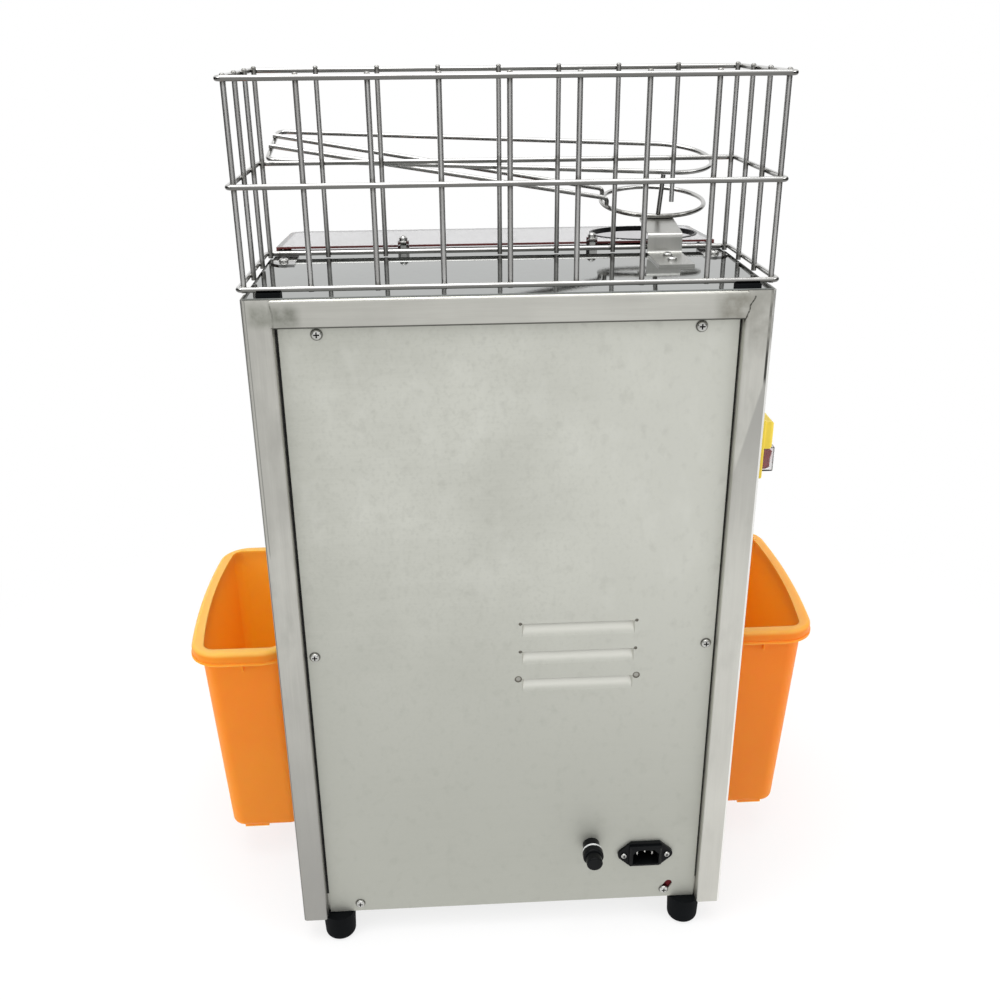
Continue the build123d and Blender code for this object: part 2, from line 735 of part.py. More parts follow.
def fuse_holder():
    """Fuse holder through the rear panel: barrel and ring outside, threaded body inside."""
    ring_at = FUSE_BARREL_L
    holder = Cylinder(FUSE_BARREL_R, FUSE_BARREL_L, align=BASE)
    holder += Pos(0, 0, ring_at) * Cylinder(FUSE_RING_R, FUSE_RING_L, align=BASE)
    holder += Cylinder(FUSE_BODY_R, FUSE_BODY_L, align=(Align.CENTER, Align.CENTER, Align.MAX))
    nut = extrude(RegularPolygon(FUSE_BARREL_R + SHEET, 6), STRIP_T)
    holder += Pos(0, 0, -SHEET - STRIP_T) * nut
    bore = ring_at + FUSE_RING_L
    holder -= Pos(0, 0, bore - FUSE_STEM_L - SHEET) * Cylinder(FUSE_BORE_R, FUSE_STEM_L + SHEET, align=BASE)
    return facing_rear(PANEL_FACE, FUSE_X, Z_BASE + FUSE_Z) * holder


def fuse_cap():
    """Bayonet cap: collar, grip and the stem that carries the fuse."""
    start = FUSE_BARREL_L + FUSE_RING_L
    collar = Cylinder(FUSE_COLLAR_R, FUSE_COLLAR_L - CLEAR, align=BASE)
    collar = fillet(collar.edges().group_by(Axis.Z)[-1], FUSE_COLLAR_R - FUSE_GRIP_R - CLEAR)
    grip = Cylinder(FUSE_GRIP_R, FUSE_GRIP_L + CLEAR, align=BASE)
    grip = fillet(grip.edges().group_by(Axis.Z)[-1], FUSE_GRIP_R / 5)
    cap = Pos(0, 0, start + CLEAR) * collar
    cap += Pos(0, 0, start + FUSE_COLLAR_L - CLEAR) * grip
    stem = Cylinder(FUSE_BORE_R - CLEAR, FUSE_STEM_L, align=(Align.CENTER, Align.CENTER, Align.MAX))
    cap += Pos(0, 0, start + CLEAR) * stem
    return facing_rear(PANEL_FACE, FUSE_X, Z_BASE + FUSE_Z) * cap


# Switch
def switch_frame():
    """Frame on the left side panel: own x runs out of the panel, own y is up."""
    place = (-SIDE_FACE, REAR_Y - SWITCH_D, Z_TOP - SWITCH_DROP)
    return Plane(origin=place, x_dir=(-1, 0, 0), z_dir=(0, 1, 0))


def outward(long, tall, wide, x, y):
    """Block on the switch: its start and height along the frame's own x and y, centred in depth."""
    return switch_frame() * Pos(x, y) * Box(long, tall, wide, align=(Align.MIN, Align.CENTER, Align.CENTER))


def switch_plate():
    """Yellow housing with a raised upper block and a round pocket for the rocker."""
    base = outward(SWITCH_T, SWITCH_H, SWITCH_W, 0, 0)
    base = fillet(base.edges().group_by(Axis.X)[0], SHEET)
    upper_y = SWITCH_H / 2 - SWITCH_TOP_H / 2 - SHEET
    upper = outward(SWITCH_TOP_T, SWITCH_TOP_H, SWITCH_W - 2 * SHEET, SWITCH_T, upper_y)
    upper = fillet(upper.edges().group_by(Axis.X)[0], SWITCH_EDGE)
    back = outward(SWITCH_BACK, SWITCH_H - 2 * COVER_GAP, SWITCH_W - 2 * COVER_GAP, -SWITCH_BACK, 0)
    pocket = Cylinder(ROCKER_R + CLEAR, ROCKER_W + 2 * CLEAR)
    return base + upper + back - switch_frame() * Pos(SWITCH_T + ROCKER_PIVOT_OUT, ROCKER_Y) * pocket


def switch_rocker():
    """Rocker with a round back and a shallow V front, leaning to its off side."""
    edge = Vector(ROCKER_R, 0).rotate(Axis.Z, 50)
    profile = make_face(
        [
            ThreePointArc((edge.X, edge.Y), (-ROCKER_R, 0), (edge.X, -edge.Y)),
            Line((edge.X, -edge.Y), (edge.X - ROCKER_DISH, 0)),
            Line((edge.X - ROCKER_DISH, 0), (edge.X, edge.Y)),
        ]
    )
    rocker = extrude(profile, ROCKER_W / 2, both=True)
    return switch_frame() * Pos(SWITCH_T + ROCKER_PIVOT_OUT, ROCKER_Y) * Rot(0, 0, -ROCKER_LEAN) * rocker


def switch_cover():
    """Clear cap over the rocker, open towards the housing."""
    tall = 2 * (ROCKER_R + COVER_GAP)
    wide = ROCKER_W + 2 * COVER_GAP
    cover = outward(COVER_OUT, tall, wide, SWITCH_T, ROCKER_Y)
    cover = fillet(cover.edges().group_by(Axis.X)[0], COVER_T)
    return cover - outward(COVER_OUT - COVER_T, tall - 2 * COVER_T, wide - 2 * COVER_T, SWITCH_T, ROCKER_Y)


# Fruit basket
def ring_drop(d):
    """Fall of the bottom ring at a depth: its rear stands on pads, its front on flat tabs."""
    return LOW_RING_DROP * (d - BASKET_BACK + RING_OUT) / BASKET_DEEP


def basket_rings():
    """Three closed wire rings round the outside of the rods; the bottom one falls a little forward."""
    wide = 2 * (ROD_HALF + RING_OUT)
    deep = BASKET_DEEP + 2 * RING_OUT
    middle = BASKET_BACK + BASKET_DEEP / 2
    slope = Rot(degrees(atan2(LOW_RING_DROP, BASKET_DEEP)), 0, 0)
    places = [Pos(0, REAR_Y - middle, BOTTOM_RING_Z - ring_drop(middle)) * slope]
    for height in (MID_RING_H, TOP_RING_H):
        places.append(Pos(0, REAR_Y - middle, Z_PLATE + height))
    rings = []
    for place in places:
        path = (place * RectangleRounded(wide, deep, RING_OUT)).wire()
        rings.append(wire_along(path))
    return group(rings)


def rod_places():
    """Places of the basket's rods, x and depth, and whether the rod is the short one."""
    places = []
    for row, d in enumerate((BASKET_BACK, FRONT_RODS)):
        for column in range(RODS_WIDE):
            x = -ROD_HALF + column * 2 * ROD_HALF / (RODS_WIDE - 1)
            places.append((x, d, row == 1 and column == 1))
    for row in range(1, RODS_DEEP - 1):
        d = BASKET_BACK + row * BASKET_DEEP / (RODS_DEEP - 1)
        places += [(-ROD_HALF, d, False), (ROD_HALF, d, False)]
    return places


def basket_rods():
    """Upright rods with rounded upper ends; the one above the feeder bracket is cut short."""
    rods = []
    for x, d, short in rod_places():
        top = Z_PLATE + TOP_RING_H + ROD_PROUD
        low = Z_PLATE + SHORT_ROD_H if short else BOTTOM_RING_Z - ROD_NUB - ring_drop(d)
        rod = Cylinder(WIRE / 2, top - low, align=BASE)
        rod = fillet(rod.edges().group_by(Axis.Z)[-1], WIRE * 0.35)
        rods.append(Pos(x, REAR_Y - d, low) * rod)
    return group(rods)


def basket_tabs():
    """Bent plates under the front corners of the bottom ring, each with one clipped corner."""
    front = FRONT_RODS + RING_OUT + TAB_T / 2
    ring_low = BOTTOM_RING_Z - ring_drop(FRONT_RODS + RING_OUT) - WIRE / 2 + WELD
    tabs = []
    for side in (-1, 1):
        near = side * (ROD_HALF - WIRE / 2 - TAB_IN - TAB_W)
        far = side * (ROD_HALF - WIRE / 2 - TAB_IN)
        face = outline(
            [
                (near, REAR_Y - front),
                (far, REAR_Y - front),
                (far, REAR_Y - front + TAB_L - TAB_CUT),
                (far - side * TAB_CUT, REAR_Y - front + TAB_L),
                (near, REAR_Y - front + TAB_L),
            ]
        )
        tab = Pos(0, 0, Z_PLATE) * extrude(face, TAB_T, dir=(0, 0, 1))
        tab += block(sorted((near, far)), (front - TAB_T, front), (Z_PLATE, ring_low))
        for x, d, z in top_screw_places():
            tab -= Pos(x, REAR_Y - d, z) * Cylinder(SCREW_D / 2 + FIT, 4 * TAB_T)
        tabs.append(tab)
    return group(tabs)


def basket_pads():
    """Rubber blocks under the ring's rear corners."""
    pads = []
    middle = BASKET_BACK - RING_OUT + 1
    depth = (middle - PAD_L / 2, middle + PAD_L / 2)
    for side in (-1, 1):
        far = side * (ROD_HALF - WIRE / 2 - PAD_IN)
        limits = sorted((far, far - side * PAD_W))
        pads.append(block(limits, depth, (Z_PLATE, BOTTOM_RING_Z - WIRE / 2)))
    return group(pads)


# Feeder
def feeder_frame():
    """Frame on the bracket's sloping flange: own x is +X, own -y is forward and up the slope."""
    return Pos(0, REAR_Y - WEB_D, FLANGE_Z) * Rot(-FEEDER_TILT, 0, 0)


def guard_height(x, across):
    """Height of the guard's plane over the flange's plane, at a distance behind the guard's middle."""
    run = CHUTE_END_X - FEED_X + GUARD_PAST
    fall = (GUARD_HIGH - GUARD_LOW) * (CHUTE_END_X - x) / run
    return GUARD_HIGH - fall - across * tan(radians(GUARD_LEAN))


def feeder_bracket():
    """Bent strip: base on the top plate, upright web, sloping flange under the ring."""
    tilt = radians(FEEDER_TILT)
    reach = RING_U - FEED_RING_R + BRACKET_PAST_RING
    low = Z_PLATE + BRACKET_T / 2
    high = FLANGE_Z - BRACKET_T / 2 / cos(tilt)
    path = FilletPolyline(
        (WEB_D - BRACKET_BASE, low),
        (WEB_D, low),
        (WEB_D, high),
        (WEB_D + reach * cos(tilt), high + reach * sin(tilt)),
        radius=BRACKET_BEND,
    )
    strip = extrude(side_view(BRACKET_X + BRACKET_W / 2) * trace(path, BRACKET_T), BRACKET_W)
    for x, d, z in top_screw_places()[2:]:
        strip -= Pos(x, REAR_Y - d, z) * Cylinder(SCREW_D / 2 + FIT, 4 * BRACKET_T)
    return strip


def feeder_ring():
    """Ring that drops the fruit into the hood's feed throat."""
    return feeder_frame() * Pos(FEED_X, -RING_U, WIRE / 2 - WELD) * Torus(FEED_RING_R, WIRE / 2)


def feeder_rails():
    """Two sloping chute wires, from the top of the guard's end wire down onto the ring."""
    stub_x = FEED_X + sqrt(FEED_RING_R ** 2 - (RAIL_GAP / 2) ** 2)
    stub_end = WIRE - WELD - 2 * WELD
    rails = []
    for side in (-1, 1):
        own = Plane(origin=(0, -RING_U + side * RAIL_GAP / 2, 0), x_dir=(1, 0, 0), z_dir=(0, -1, 0))
        path = FilletPolyline(
            (CHUTE_END_X + WIRE / 4, guard_height(CHUTE_END_X, side * RAIL_GAP / 2) + WIRE - WELD),
            (stub_x, RAIL_LOW),
            (stub_x, stub_end),
            radius=RAIL_BEND,
        )
        rails.append(feeder_frame() * wire_along(own * path))
    return group(rails)


def feeder_guard():
    """Closed wire loop over the chute, round at the ring's end, and the post that carries it."""
    round_x = FEED_X - GUARD_PAST
    slope = atan2(GUARD_HIGH - GUARD_LOW, CHUTE_END_X - round_x)
    own = Plane(
        origin=(CHUTE_END_X, -RING_U, GUARD_HIGH),
        x_dir=(-cos(slope), 0, -sin(slope)),
        z_dir=(sin(slope), 0, -cos(slope)),
    ).rotated((-GUARD_LEAN, 0, 0))
    long = (CHUTE_END_X - round_x) / cos(slope)
    sides = FilletPolyline((long, -GUARD_R), (0, -GUARD_R), (0, GUARD_R), (long, GUARD_R), radius=GUARD_BEND)
    bow = ThreePointArc((long, GUARD_R), (long + GUARD_R, 0), (long, -GUARD_R))
    path = own * Wire(sides.edges() + bow.edges())
    loop = feeder_frame() * wire_along(path)
    low = Vector(POST_FOOT_X, FEED_RING_R - RING_U, WIRE - 1.5 * WELD)
    across = GUARD_R * cos(radians(GUARD_LEAN))
    high = Vector(POST_HEAD_X, across - RING_U, guard_height(POST_HEAD_X, across) - WIRE / 2 + WELD)
    upright = Plane(origin=low, z_dir=high - low)
    post = feeder_frame() * (upright * Cylinder(WIRE / 2, (high - low).length, align=BASE))
    return group([loop, post])


# Gears, shafts and drums
def drum_axes():
    """Axes of the four drums, x and z."""
    return {
        "upper_left": (-UPPER_X, UPPER_Z),
        "upper_right": (UPPER_X, UPPER_Z),
        "lower_left": (-LOWER_X, LOWER_Z),
        "lower_right": (LOWER_X, LOWER_Z),
    }


def mesh_phase(phase, line, teeth, next_teeth):
    """Turn of a gear that meshes along a line of centres with one of a known turn."""
    return line + 180 + (line - phase) * teeth / next_teeth + 180 / next_teeth


def gear_phases():
    """Turns at rest of the four gears and the pinion."""
    down_left = degrees(atan2(LOWER_Z - UPPER_Z, UPPER_X - LOWER_X))
    phases = {"upper_left": 0.0}
    phases["upper_right"] = mesh_phase(0.0, 0.0, GEAR_TEETH, GEAR_TEETH)
    phases["lower_left"] = mesh_phase(0.0, down_left, GEAR_TEETH, GEAR_TEETH)
    phases["lower_right"] = mesh_phase(phases["upper_right"], 180 - down_left, GEAR_TEETH, GEAR_TEETH)
    phases["pinion"] = mesh_phase(phases["lower_left"], PINION_ANGLE, GEAR_TEETH, PINION_TEETH)
    return phases


def gear_face(teeth):
    """Outline of an involute gear whose first tooth points along +X."""
    pitch_r = MODULE * teeth / 2
    base_r = pitch_r * cos(radians(PRESSURE))
    tip_r = pitch_r + ADDENDUM * MODULE
    root_r = pitch_r - DEDENDUM * MODULE
    half_tooth = (pi * MODULE / 2 - BACKLASH) / (2 * pitch_r)

    def involute(radius):
        angle = acos(base_r / radius)
        return tan(angle) - angle

    def flank(radius):
        return half_tooth + involute(pitch_r) - involute(radius)

    def spot(radius, angle):
        return (radius * cos(angle), radius * sin(angle))

    low_r = max(base_r, root_r + 0.1)
    mid_r = (low_r + tip_r) / 2
    pitch = 2 * pi / teeth
    edges = []
    for number in range(teeth):
        axis = number * pitch
        foot = flank(low_r)
        rise = [spot(low_r, axis - foot), spot(mid_r, axis - flank(mid_r)), spot(tip_r, axis - flank(tip_r))]
        fall = [spot(tip_r, axis + flank(tip_r)), spot(mid_r, axis + flank(mid_r)), spot(low_r, axis + foot)]
        edges.append(Line(spot(root_r, axis - foot), rise[0]))
        edges.append(ThreePointArc(*rise))
        edges.append(ThreePointArc(rise[2], spot(tip_r, axis), fall[0]))
        edges.append(ThreePointArc(*fall))
        edges.append(Line(fall[2], spot(root_r, axis + foot)))
        valley = [axis + foot, axis + pitch / 2, axis + pitch - foot]
        edges.append(ThreePointArc(*[spot(root_r, angle) for angle in valley]))
    return make_face(edges)


def drum_gear(name):
    """One of the four equal gears, with a hub towards the chamber."""
    x, z = drum_axes()[name]
    face = Rot(0, 0, gear_phases()[name]) * gear_face(GEAR_TEETH)
    gear = extrude(face, GEAR_W) + Cylinder(GEAR_HUB_R, GEAR_W + GEAR_HUB_L, align=BASE)
    gear -= Cylinder(SHAFT_R + FIT, 3 * GEAR_W)
    return facing_front(GEAR_D0, x, z) * gear


def drive_pinion():
    """Motor pinion with its shaft."""
    face = Rot(0, 0, gear_phases()["pinion"]) * gear_face(PINION_TEETH)
    pinion = facing_front(GEAR_D0, PINION_X, PINION_Z) * extrude(face, GEAR_W)
    return pinion + bar(PINION_X, PINION_Z, (GEAR_PLATE_D0 - GEARBOX_L / 2, GEAR_D1), PINION_SHAFT_R)


def ball_phase():
    """Angle of the lower left drum's first ball, so that it meets the upper left drum's cup."""
    line = degrees(atan2(LOWER_Z - UPPER_Z, UPPER_X - LOWER_X))
    return 2 * line + 180


def drum(name):
    """Cup drum above or ball drum below."""
    x, z = drum_axes()[name]
    left = name.endswith("left")
    upper = name.startswith("upper")
    phase = (0 if left else 180) if upper else (ball_phase() if left else 180 - ball_phase())
    radius = CUP_DRUM_R if upper else MALE_HUB_R
    body = Cylinder(radius, DRUM_L, align=BASE)
    body = chamfer(body.edges().filter_by(GeomType.CIRCLE), DRUM_CHAMFER)
    for half_turn in (0, 180):
        centre = Vector(PITCH_R, 0).rotate(Axis.Z, phase + half_turn)
        place = Pos(centre.X, centre.Y, DRUM_L / 2)
        body = body - place * Sphere(CUP_R) if upper else body + place * Sphere(BALL_R)
    body -= Cylinder(SHAFT_R + FIT, 3 * DRUM_L)
    return facing_front(DRUM_D0, x, z) * body


def drum_shaft(name):
    """Shaft of one drum, and the lobed knob that holds the drum on it."""
    x, z = drum_axes()[name]
    shaft = bar(x, z, (GEAR_PLATE_D0 - BEARING_FLANGE_T, DRUM_D1), SHAFT_R)
    shaft += bar(x, z, (DRUM_D1, DRUM_D1 + KNOB_T), STEM_R)
    knob = Cylinder(KNOB_R, KNOB_T, align=BASE)
    for lobe in range(KNOB_LOBES):
        knob -= Rot(0, 0, lobe * 360 / KNOB_LOBES) * Pos(KNOB_R, 0) * Cylinder(KNOB_NOTCH_R, 3 * KNOB_T)
    knob = fillet(knob.edges().group_by(Axis.Z)[-1], KNOB_T / 8)
    knob -= Cylinder(STEM_R + FIT, KNOB_T * 3)
    return group([shaft, facing_front(DRUM_D1 + FIT, x, z) * knob])


# Gear plate, bearings and gear motor
def gear_plate_limits():
    """Half width and height limits of the gear plate."""
    return LOWER_X + GEAR_PLATE_SIDE, (PINION_Z - GEAR_PLATE_DOWN, UPPER_Z + GEAR_PLATE_UP)


def gear_plate():
    """Plate that carries the rear bearings and the gear motor."""
    half, height = gear_plate_limits()
    plate = block((-half, half), (GEAR_PLATE_D0, GEAR_PLATE_D1), height)
    plate = fillet(plate.edges().filter_by(Axis.Y), PLATE_POST_R)
    through = (GEAR_PLATE_D0 - GEAR_PLATE_T, GEAR_PLATE_D1 + GEAR_PLATE_T)
    for x, z in drum_axes().values():
        plate -= bar(x, z, through, BEARING_R + FIT)
    return plate - bar(PINION_X, PINION_Z, through, PINION_BEARING_R + FIT)


def plate_posts():
    """Round posts between the gear plate and the chamber wall."""
    half, height = gear_plate_limits()
    posts = []
    for x in (PLATE_POST_IN - half, half - PLATE_POST_IN):
        for z in (height[0] + PLATE_POST_IN, height[1] - PLATE_POST_IN):
            posts.append(bar(x, z, (GEAR_PLATE_D1, CAB_D), PLATE_POST_R))
    return group(posts)


def bush(x, z, seat, outer_r, bore_r, forward):
    """Flanged bush: the flange lies against the seat, the sleeve goes through it."""
    step = 1 if forward else -1
    flange = sorted((seat, seat - step * BEARING_FLANGE_T))
    sleeve = sorted((seat - step * BEARING_FLANGE_T, seat + step * (BEARING_L - BEARING_FLANGE_T)))
    rim = outer_r + BEARING_FLANGE_R - BEARING_R
    piece = bar(x, z, flange, rim) + bar(x, z, sleeve, outer_r)
    return piece - bar(x, z, (seat - 2 * BEARING_L, seat + 2 * BEARING_L), bore_r)


def bearings():
    """Bushes of the four drum shafts, front and rear, and of the pinion shaft."""
    pieces = []
    for x, z in drum_axes().values():
        pieces.append(bush(x, z, GEAR_PLATE_D0, BEARING_R, SHAFT_R + RUN, True))
        rear = bar(x, z, (CAB_D - BEARING_FLANGE_T, CAB_D), BEARING_FLANGE_R)
        nose = bar(x, z, (CAB_D, WALL_FRONT + WALL_SHEET), BEARING_R)
        hole = bar(x, z, (CAB_D - BEARING_L, CAB_D + BEARING_L), SHAFT_R + RUN)
        pieces.append(rear + nose - hole)
    sleeve = bar(PINION_X, PINION_Z, (GEAR_PLATE_D0, GEAR_PLATE_D1), PINION_BEARING_R)
    hole = bar(PINION_X, PINION_Z, (GEAR_PLATE_D0 - SHEET, GEAR_PLATE_D1 + SHEET), PINION_SHAFT_R + RUN)
    pieces.append(sleeve - hole)
    return group(pieces)


def gearbox():
    """Gearbox housing on the rear of the gear plate."""
    half = GEARBOX_HALF
    depth = (GEAR_PLATE_D0 - GEARBOX_L, GEAR_PLATE_D0)
    case = block((PINION_X - half, PINION_X + half), depth, (PINION_Z - half, PINION_Z + half))
    case = fillet(case.edges().filter_by(Axis.Y), GEARBOX_EDGE)
    through = (GEAR_PLATE_D0 - GEARBOX_L / 2 - CLEAR, GEAR_PLATE_D0 + SHEET)
    return case - bar(PINION_X, PINION_Z, through, PINION_SHAFT_R + RUN)


def motor():
    """Finned motor on the rear of the gearbox, with a plain end cap."""
    case = Cylinder(MOTOR_R, MOTOR_L, align=BASE)
    for number in range(MOTOR_FINS):
        fin = Pos(MOTOR_R, 0, MOTOR_CAP_L) * Box(2 * FIN_H, FIN_W, MOTOR_L - 2 * MOTOR_CAP_L, align=BASE)
        case += Rot(0, 0, number * 360 / MOTOR_FINS) * fin
    case = case - Pos(0, 0, 0) * Cylinder(MOTOR_R / 4, MOTOR_CAP_L / 2, align=BASE)
    return facing_front(GEAR_PLATE_D0 - GEARBOX_L - MOTOR_L, PINION_X, PINION_Z) * case


# Knife, ejectors and trough
def knife():
    """Upright blade under the nip, sharp along its upper edge."""
    top = UPPER_Z - KNIFE_BELOW_NIP
    half = KNIFE_T / 2
    face = outline(
        [
            (0, top),
            (half, top - KNIFE_BEVEL),
            (half, top - KNIFE_H),
            (-half, top - KNIFE_H),
            (-half, top - KNIFE_BEVEL),
        ]
    )
    return extrude(facing_front(WALL_FRONT) * face, DRUM_D1 - WALL_FRONT - BLADE_SHORT)


def ejector_line():
    """Ends of an ejector's underside, x and z, on the right side."""
    angle = radians(EJECT_ANGLE)
    reach = SWEEP_R + EJECT_CLEAR
    touch_x = LOWER_X + reach * cos(angle)
    touch_z = LOWER_Z + reach * sin(angle)
    ends = []
    for x in (UPPER_X + CUP_DRUM_R + EJECT_GAP, EJECT_OUT_X):
        ends.append((x, touch_z - (x - touch_x) / tan(angle)))
    return ends


def peel_ejectors():
    """Two sloping plates that lift the peel out of the cups and lead it to the bins."""
    inner, outer = ejector_line()
    rise = EJECT_T / sin(radians(EJECT_ANGLE))
    face = outline([inner, outer, (outer[0], outer[1] + rise), (inner[0] + EJECT_T, inner[1] + rise)])
    plate = extrude(facing_front(WALL_FRONT) * face, DRUM_D1 - WALL_FRONT - BLADE_SHORT)
    return group([plate, mirror(plate, Plane.YZ)])


def feed_trough():
    """Sloping trough, fixed to the chamber wall, that leads fruit from the throat to the nip."""
    long = (HOOD_HALF - HOOD_T - TROUGH_IN - TROUGH_END_X) / cos(radians(TROUGH_SLOPE))
    channel = Box(long, TROUGH_W, TROUGH_WALL_H, align=(Align.MAX, Align.MAX, Align.MIN))
    inside = Box(long, TROUGH_W - 2 * TROUGH_T, TROUGH_WALL_H, align=(Align.MAX, Align.MAX, Align.MIN))
    channel -= Pos(TROUGH_T, -TROUGH_T, TROUGH_T) * inside
    low = UPPER_Z + CUP_DRUM_R + TROUGH_ABOVE
    return Pos(-TROUGH_END_X, REAR_Y - WALL_FRONT, low) * Rot(0, TROUGH_SLOPE, 0) * channel


# Hood
def hood_top(d):
    """Height of the hood's sloping top at a depth."""
    return HOOD_REAR_Z - (d - HOOD_D0) * HOOD_FALL / HOOD_L


def hood_form(inset, past):
    """Solid of the hood's outside, or of its hollow, with rounded upright front edges."""
    front = HOOD_D1 - inset
    rear = HOOD_D0 - past
    low = HOOD_LOW - past
    high = hood_top(front) - inset
    rear_high = hood_top(rear) - inset
    face = outline([(rear, low), (front, low), (front, high), (rear, rear_high)])
    half = HOOD_HALF - inset
    form = extrude(side_view(half) * face, 2 * half)
    upright = form.edges().filter_by(Axis.Z).group_by(Axis.Y)[0]
    return fillet(upright, max(HOOD_CORNER - inset, 0.5))


def throat_frame():
    """Frame on the hood's sloping top at the feed hole."""
    return Pos(HOLE_X, REAR_Y - HOLE_D, hood_top(HOLE_D)) * Rot(HOOD_SLOPE, 0, 0)


def hood():
    """Clear hood, open at the rear and below, with a feed hole and a peel window in each side."""
    shell = hood_form(0, 0) - hood_form(HOOD_T, SEAL_T)
    shell -= throat_frame() * Cylinder(HOLE_R, 6 * HOOD_T)
    low = RIM_Z + WINDOW_ABOVE_RIM
    high = ejector_line()[1][1] + WINDOW_ABOVE_EJECTOR
    long = HOOD_L - HOOD_CORNER - 2 * WINDOW_MARGIN
    middle = HOOD_D0 + WINDOW_MARGIN + long / 2
    window = Pos(middle, (low + high) / 2) * RectangleRounded(long, high - low, WINDOW_R)
    return shell - extrude(side_view(HALF_W) * window, CAB_W)


def feed_throat():
    """Black collar in the hood's feed hole."""
    ring = Cylinder(HOLE_R - FIT, THROAT_L, align=BASE) - Cylinder(HOLE_R - FIT - THROAT_T, 3 * THROAT_L)
    return throat_frame() * Pos(0, 0, THROAT_PROUD - THROAT_L) * ring


def hood_seal():
    """Red strip along the hood's rear edge: over the top and down both sides."""
    depth = (WALL_FRONT + CLEAR, HOOD_D0)
    top = hood_top(HOOD_D0)
    inner = HOOD_HALF - SEAL_W
    strip = block((-HOOD_HALF, HOOD_HALF), depth, (HOOD_LOW, top))
    past = (depth[0] - SEAL_T, depth[1] + SEAL_T)
    return strip - block((-inner, inner), past, (HOOD_LOW - SEAL_W, top - SEAL_W))


# Juice tank, strainer and tap
def tank_form(grow, low, high):
    """Upright block with the tank's rounded plan, larger or smaller than it."""
    plan = RectangleRounded(TANK_W + 2 * grow, TANK_L + 2 * grow, max(TANK_R + grow, 0.5))
    return Pos(0, REAR_Y - (TANK_D0 + TANK_D1) / 2, low) * extrude(plan, high - low)


def juice_tank():
    """Open tank that hangs by its side lips, with an outlet to the tap."""
    tank = tank_form(0, TANK_BASE, TANK_TOP) - tank_form(-TANK_T, TANK_BASE + TANK_T, TANK_TOP + TANK_T)
    depth = (TANK_D0 + TANK_R, TANK_D1 - TANK_R)
    for side in (-1, 1):
        limits = sorted((side * TANK_W / 2, side * (TANK_W / 2 + LIP_W)))
        tank += block(limits, depth, (TANK_TOP - LIP_T, TANK_TOP))
    return tank - bar(0, TAP_Z, (TANK_D1 - 2 * TANK_T, TANK_D1 + TANK_T), TAP_BORE_R)


def tank_rails():
    """Two bars on the chamber wall, which the tank's lips slide on."""
    top = TANK_TOP - LIP_T - CLEAR
    rails = []
    for side in (-1, 1):
        limits = sorted((side * (TANK_W / 2 + CLEAR), side * (TANK_W / 2 + LIP_W)))
        rails.append(block(limits, (WALL_FRONT, TANK_D1 - RAIL_SHORT), (top - RAIL_H, top)))
    return group(rails)


def strainer():
    """Perforated tray that hangs in the tank by its rim."""
    gap = TANK_T + STRAINER_GAP
    rim = tank_form(0, TANK_TOP, TANK_TOP + STRAINER_T)
    tray = rim + tank_form(-gap, TANK_TOP - STRAINER_DEEP, TANK_TOP)
    tray -= tank_form(-gap - STRAINER_T, TANK_TOP - STRAINER_DEEP, TANK_TOP + 2 * STRAINER_T)
    across = int((TANK_W - 2 * gap - 2 * STRAINER_PITCH) / STRAINER_PITCH)
    along = int((TANK_L - 2 * gap - STRAINER_PITCH) / STRAINER_PITCH)
    wide = TANK_W - 2 * gap - STRAINER_T
    floor = RectangleRounded(wide, TANK_L - 2 * gap - STRAINER_T, TANK_R - gap)
    grid = GridLocations(STRAINER_PITCH, STRAINER_PITCH, across, along)
    holes = [spot * Circle(STRAINER_HOLE_R) for spot in grid]
    sheet = extrude(floor - holes, STRAINER_T)
    return tray + Pos(0, REAR_Y - (TANK_D0 + TANK_D1) / 2, TANK_TOP - STRAINER_DEEP) * sheet


def tap_body():
    """Tap on the tank's front: flange, barrel and an upright body with its spout."""
    tap = bar(0, TAP_Z, (TANK_D1, TANK_D1 + TAP_FLANGE_T), TAP_FLANGE_R)
    tap += bar(0, TAP_Z, (TANK_D1, TAP_D), TAP_BARREL_R)
    upright = Pos(0, REAR_Y - TAP_D, TAP_Z - TAP_DOWN)
    tap += upright * Cylinder(TAP_BODY_R, TAP_DOWN + TAP_UP, align=BASE)
    tap -= upright * Cylinder(TAP_BORE_R + RUN, 3 * (TAP_DOWN + TAP_UP))
    return tap - bar(0, TAP_Z, (TANK_D1 - TANK_T, TAP_D), TAP_BORE_R * 0.8)


def tap_lever():
    """Plug in the tap's upright bore, with a flat rounded lever on top."""
    top = TAP_Z + TAP_UP + CLEAR
    lever = Pos(LEVER_L / 2 - LEVER_W / 2, 0) * SlotOverall(LEVER_L, LEVER_W)
    handle = extrude(lever + Circle(TAP_BODY_R), LEVER_T)
    handle = fillet(handle.edges().group_by(Axis.Z)[-1], LEVER_T / 4)
    plug = Cylinder(TAP_BORE_R, PLUG_DEEP, align=(Align.CENTER, Align.CENTER, Align.MAX))
    return Pos(0, REAR_Y - TAP_D, top) * (handle + plug)


# Peel bins and hangers
def bin_plan(x, d, radius):
    """Flat face with rounded corners, whose outer side is bowed and flares out to the front."""
    near = REAR_Y - d[0]
    far = REAR_Y - d[1]
    near_x = x[1] - BIN_FLARE / 2
    far_x = x[1] + BIN_FLARE / 2
    face = make_face(
        [
            Line((x[0], near), (x[0], far)),
            Line((x[0], far), (far_x, far)),
            ThreePointArc((far_x, far), (x[1] + BIN_BOW, (near + far) / 2), (near_x, near)),
            Line((near_x, near), (x[0], near)),
        ]
    )
    return fillet(face.vertices(), radius)


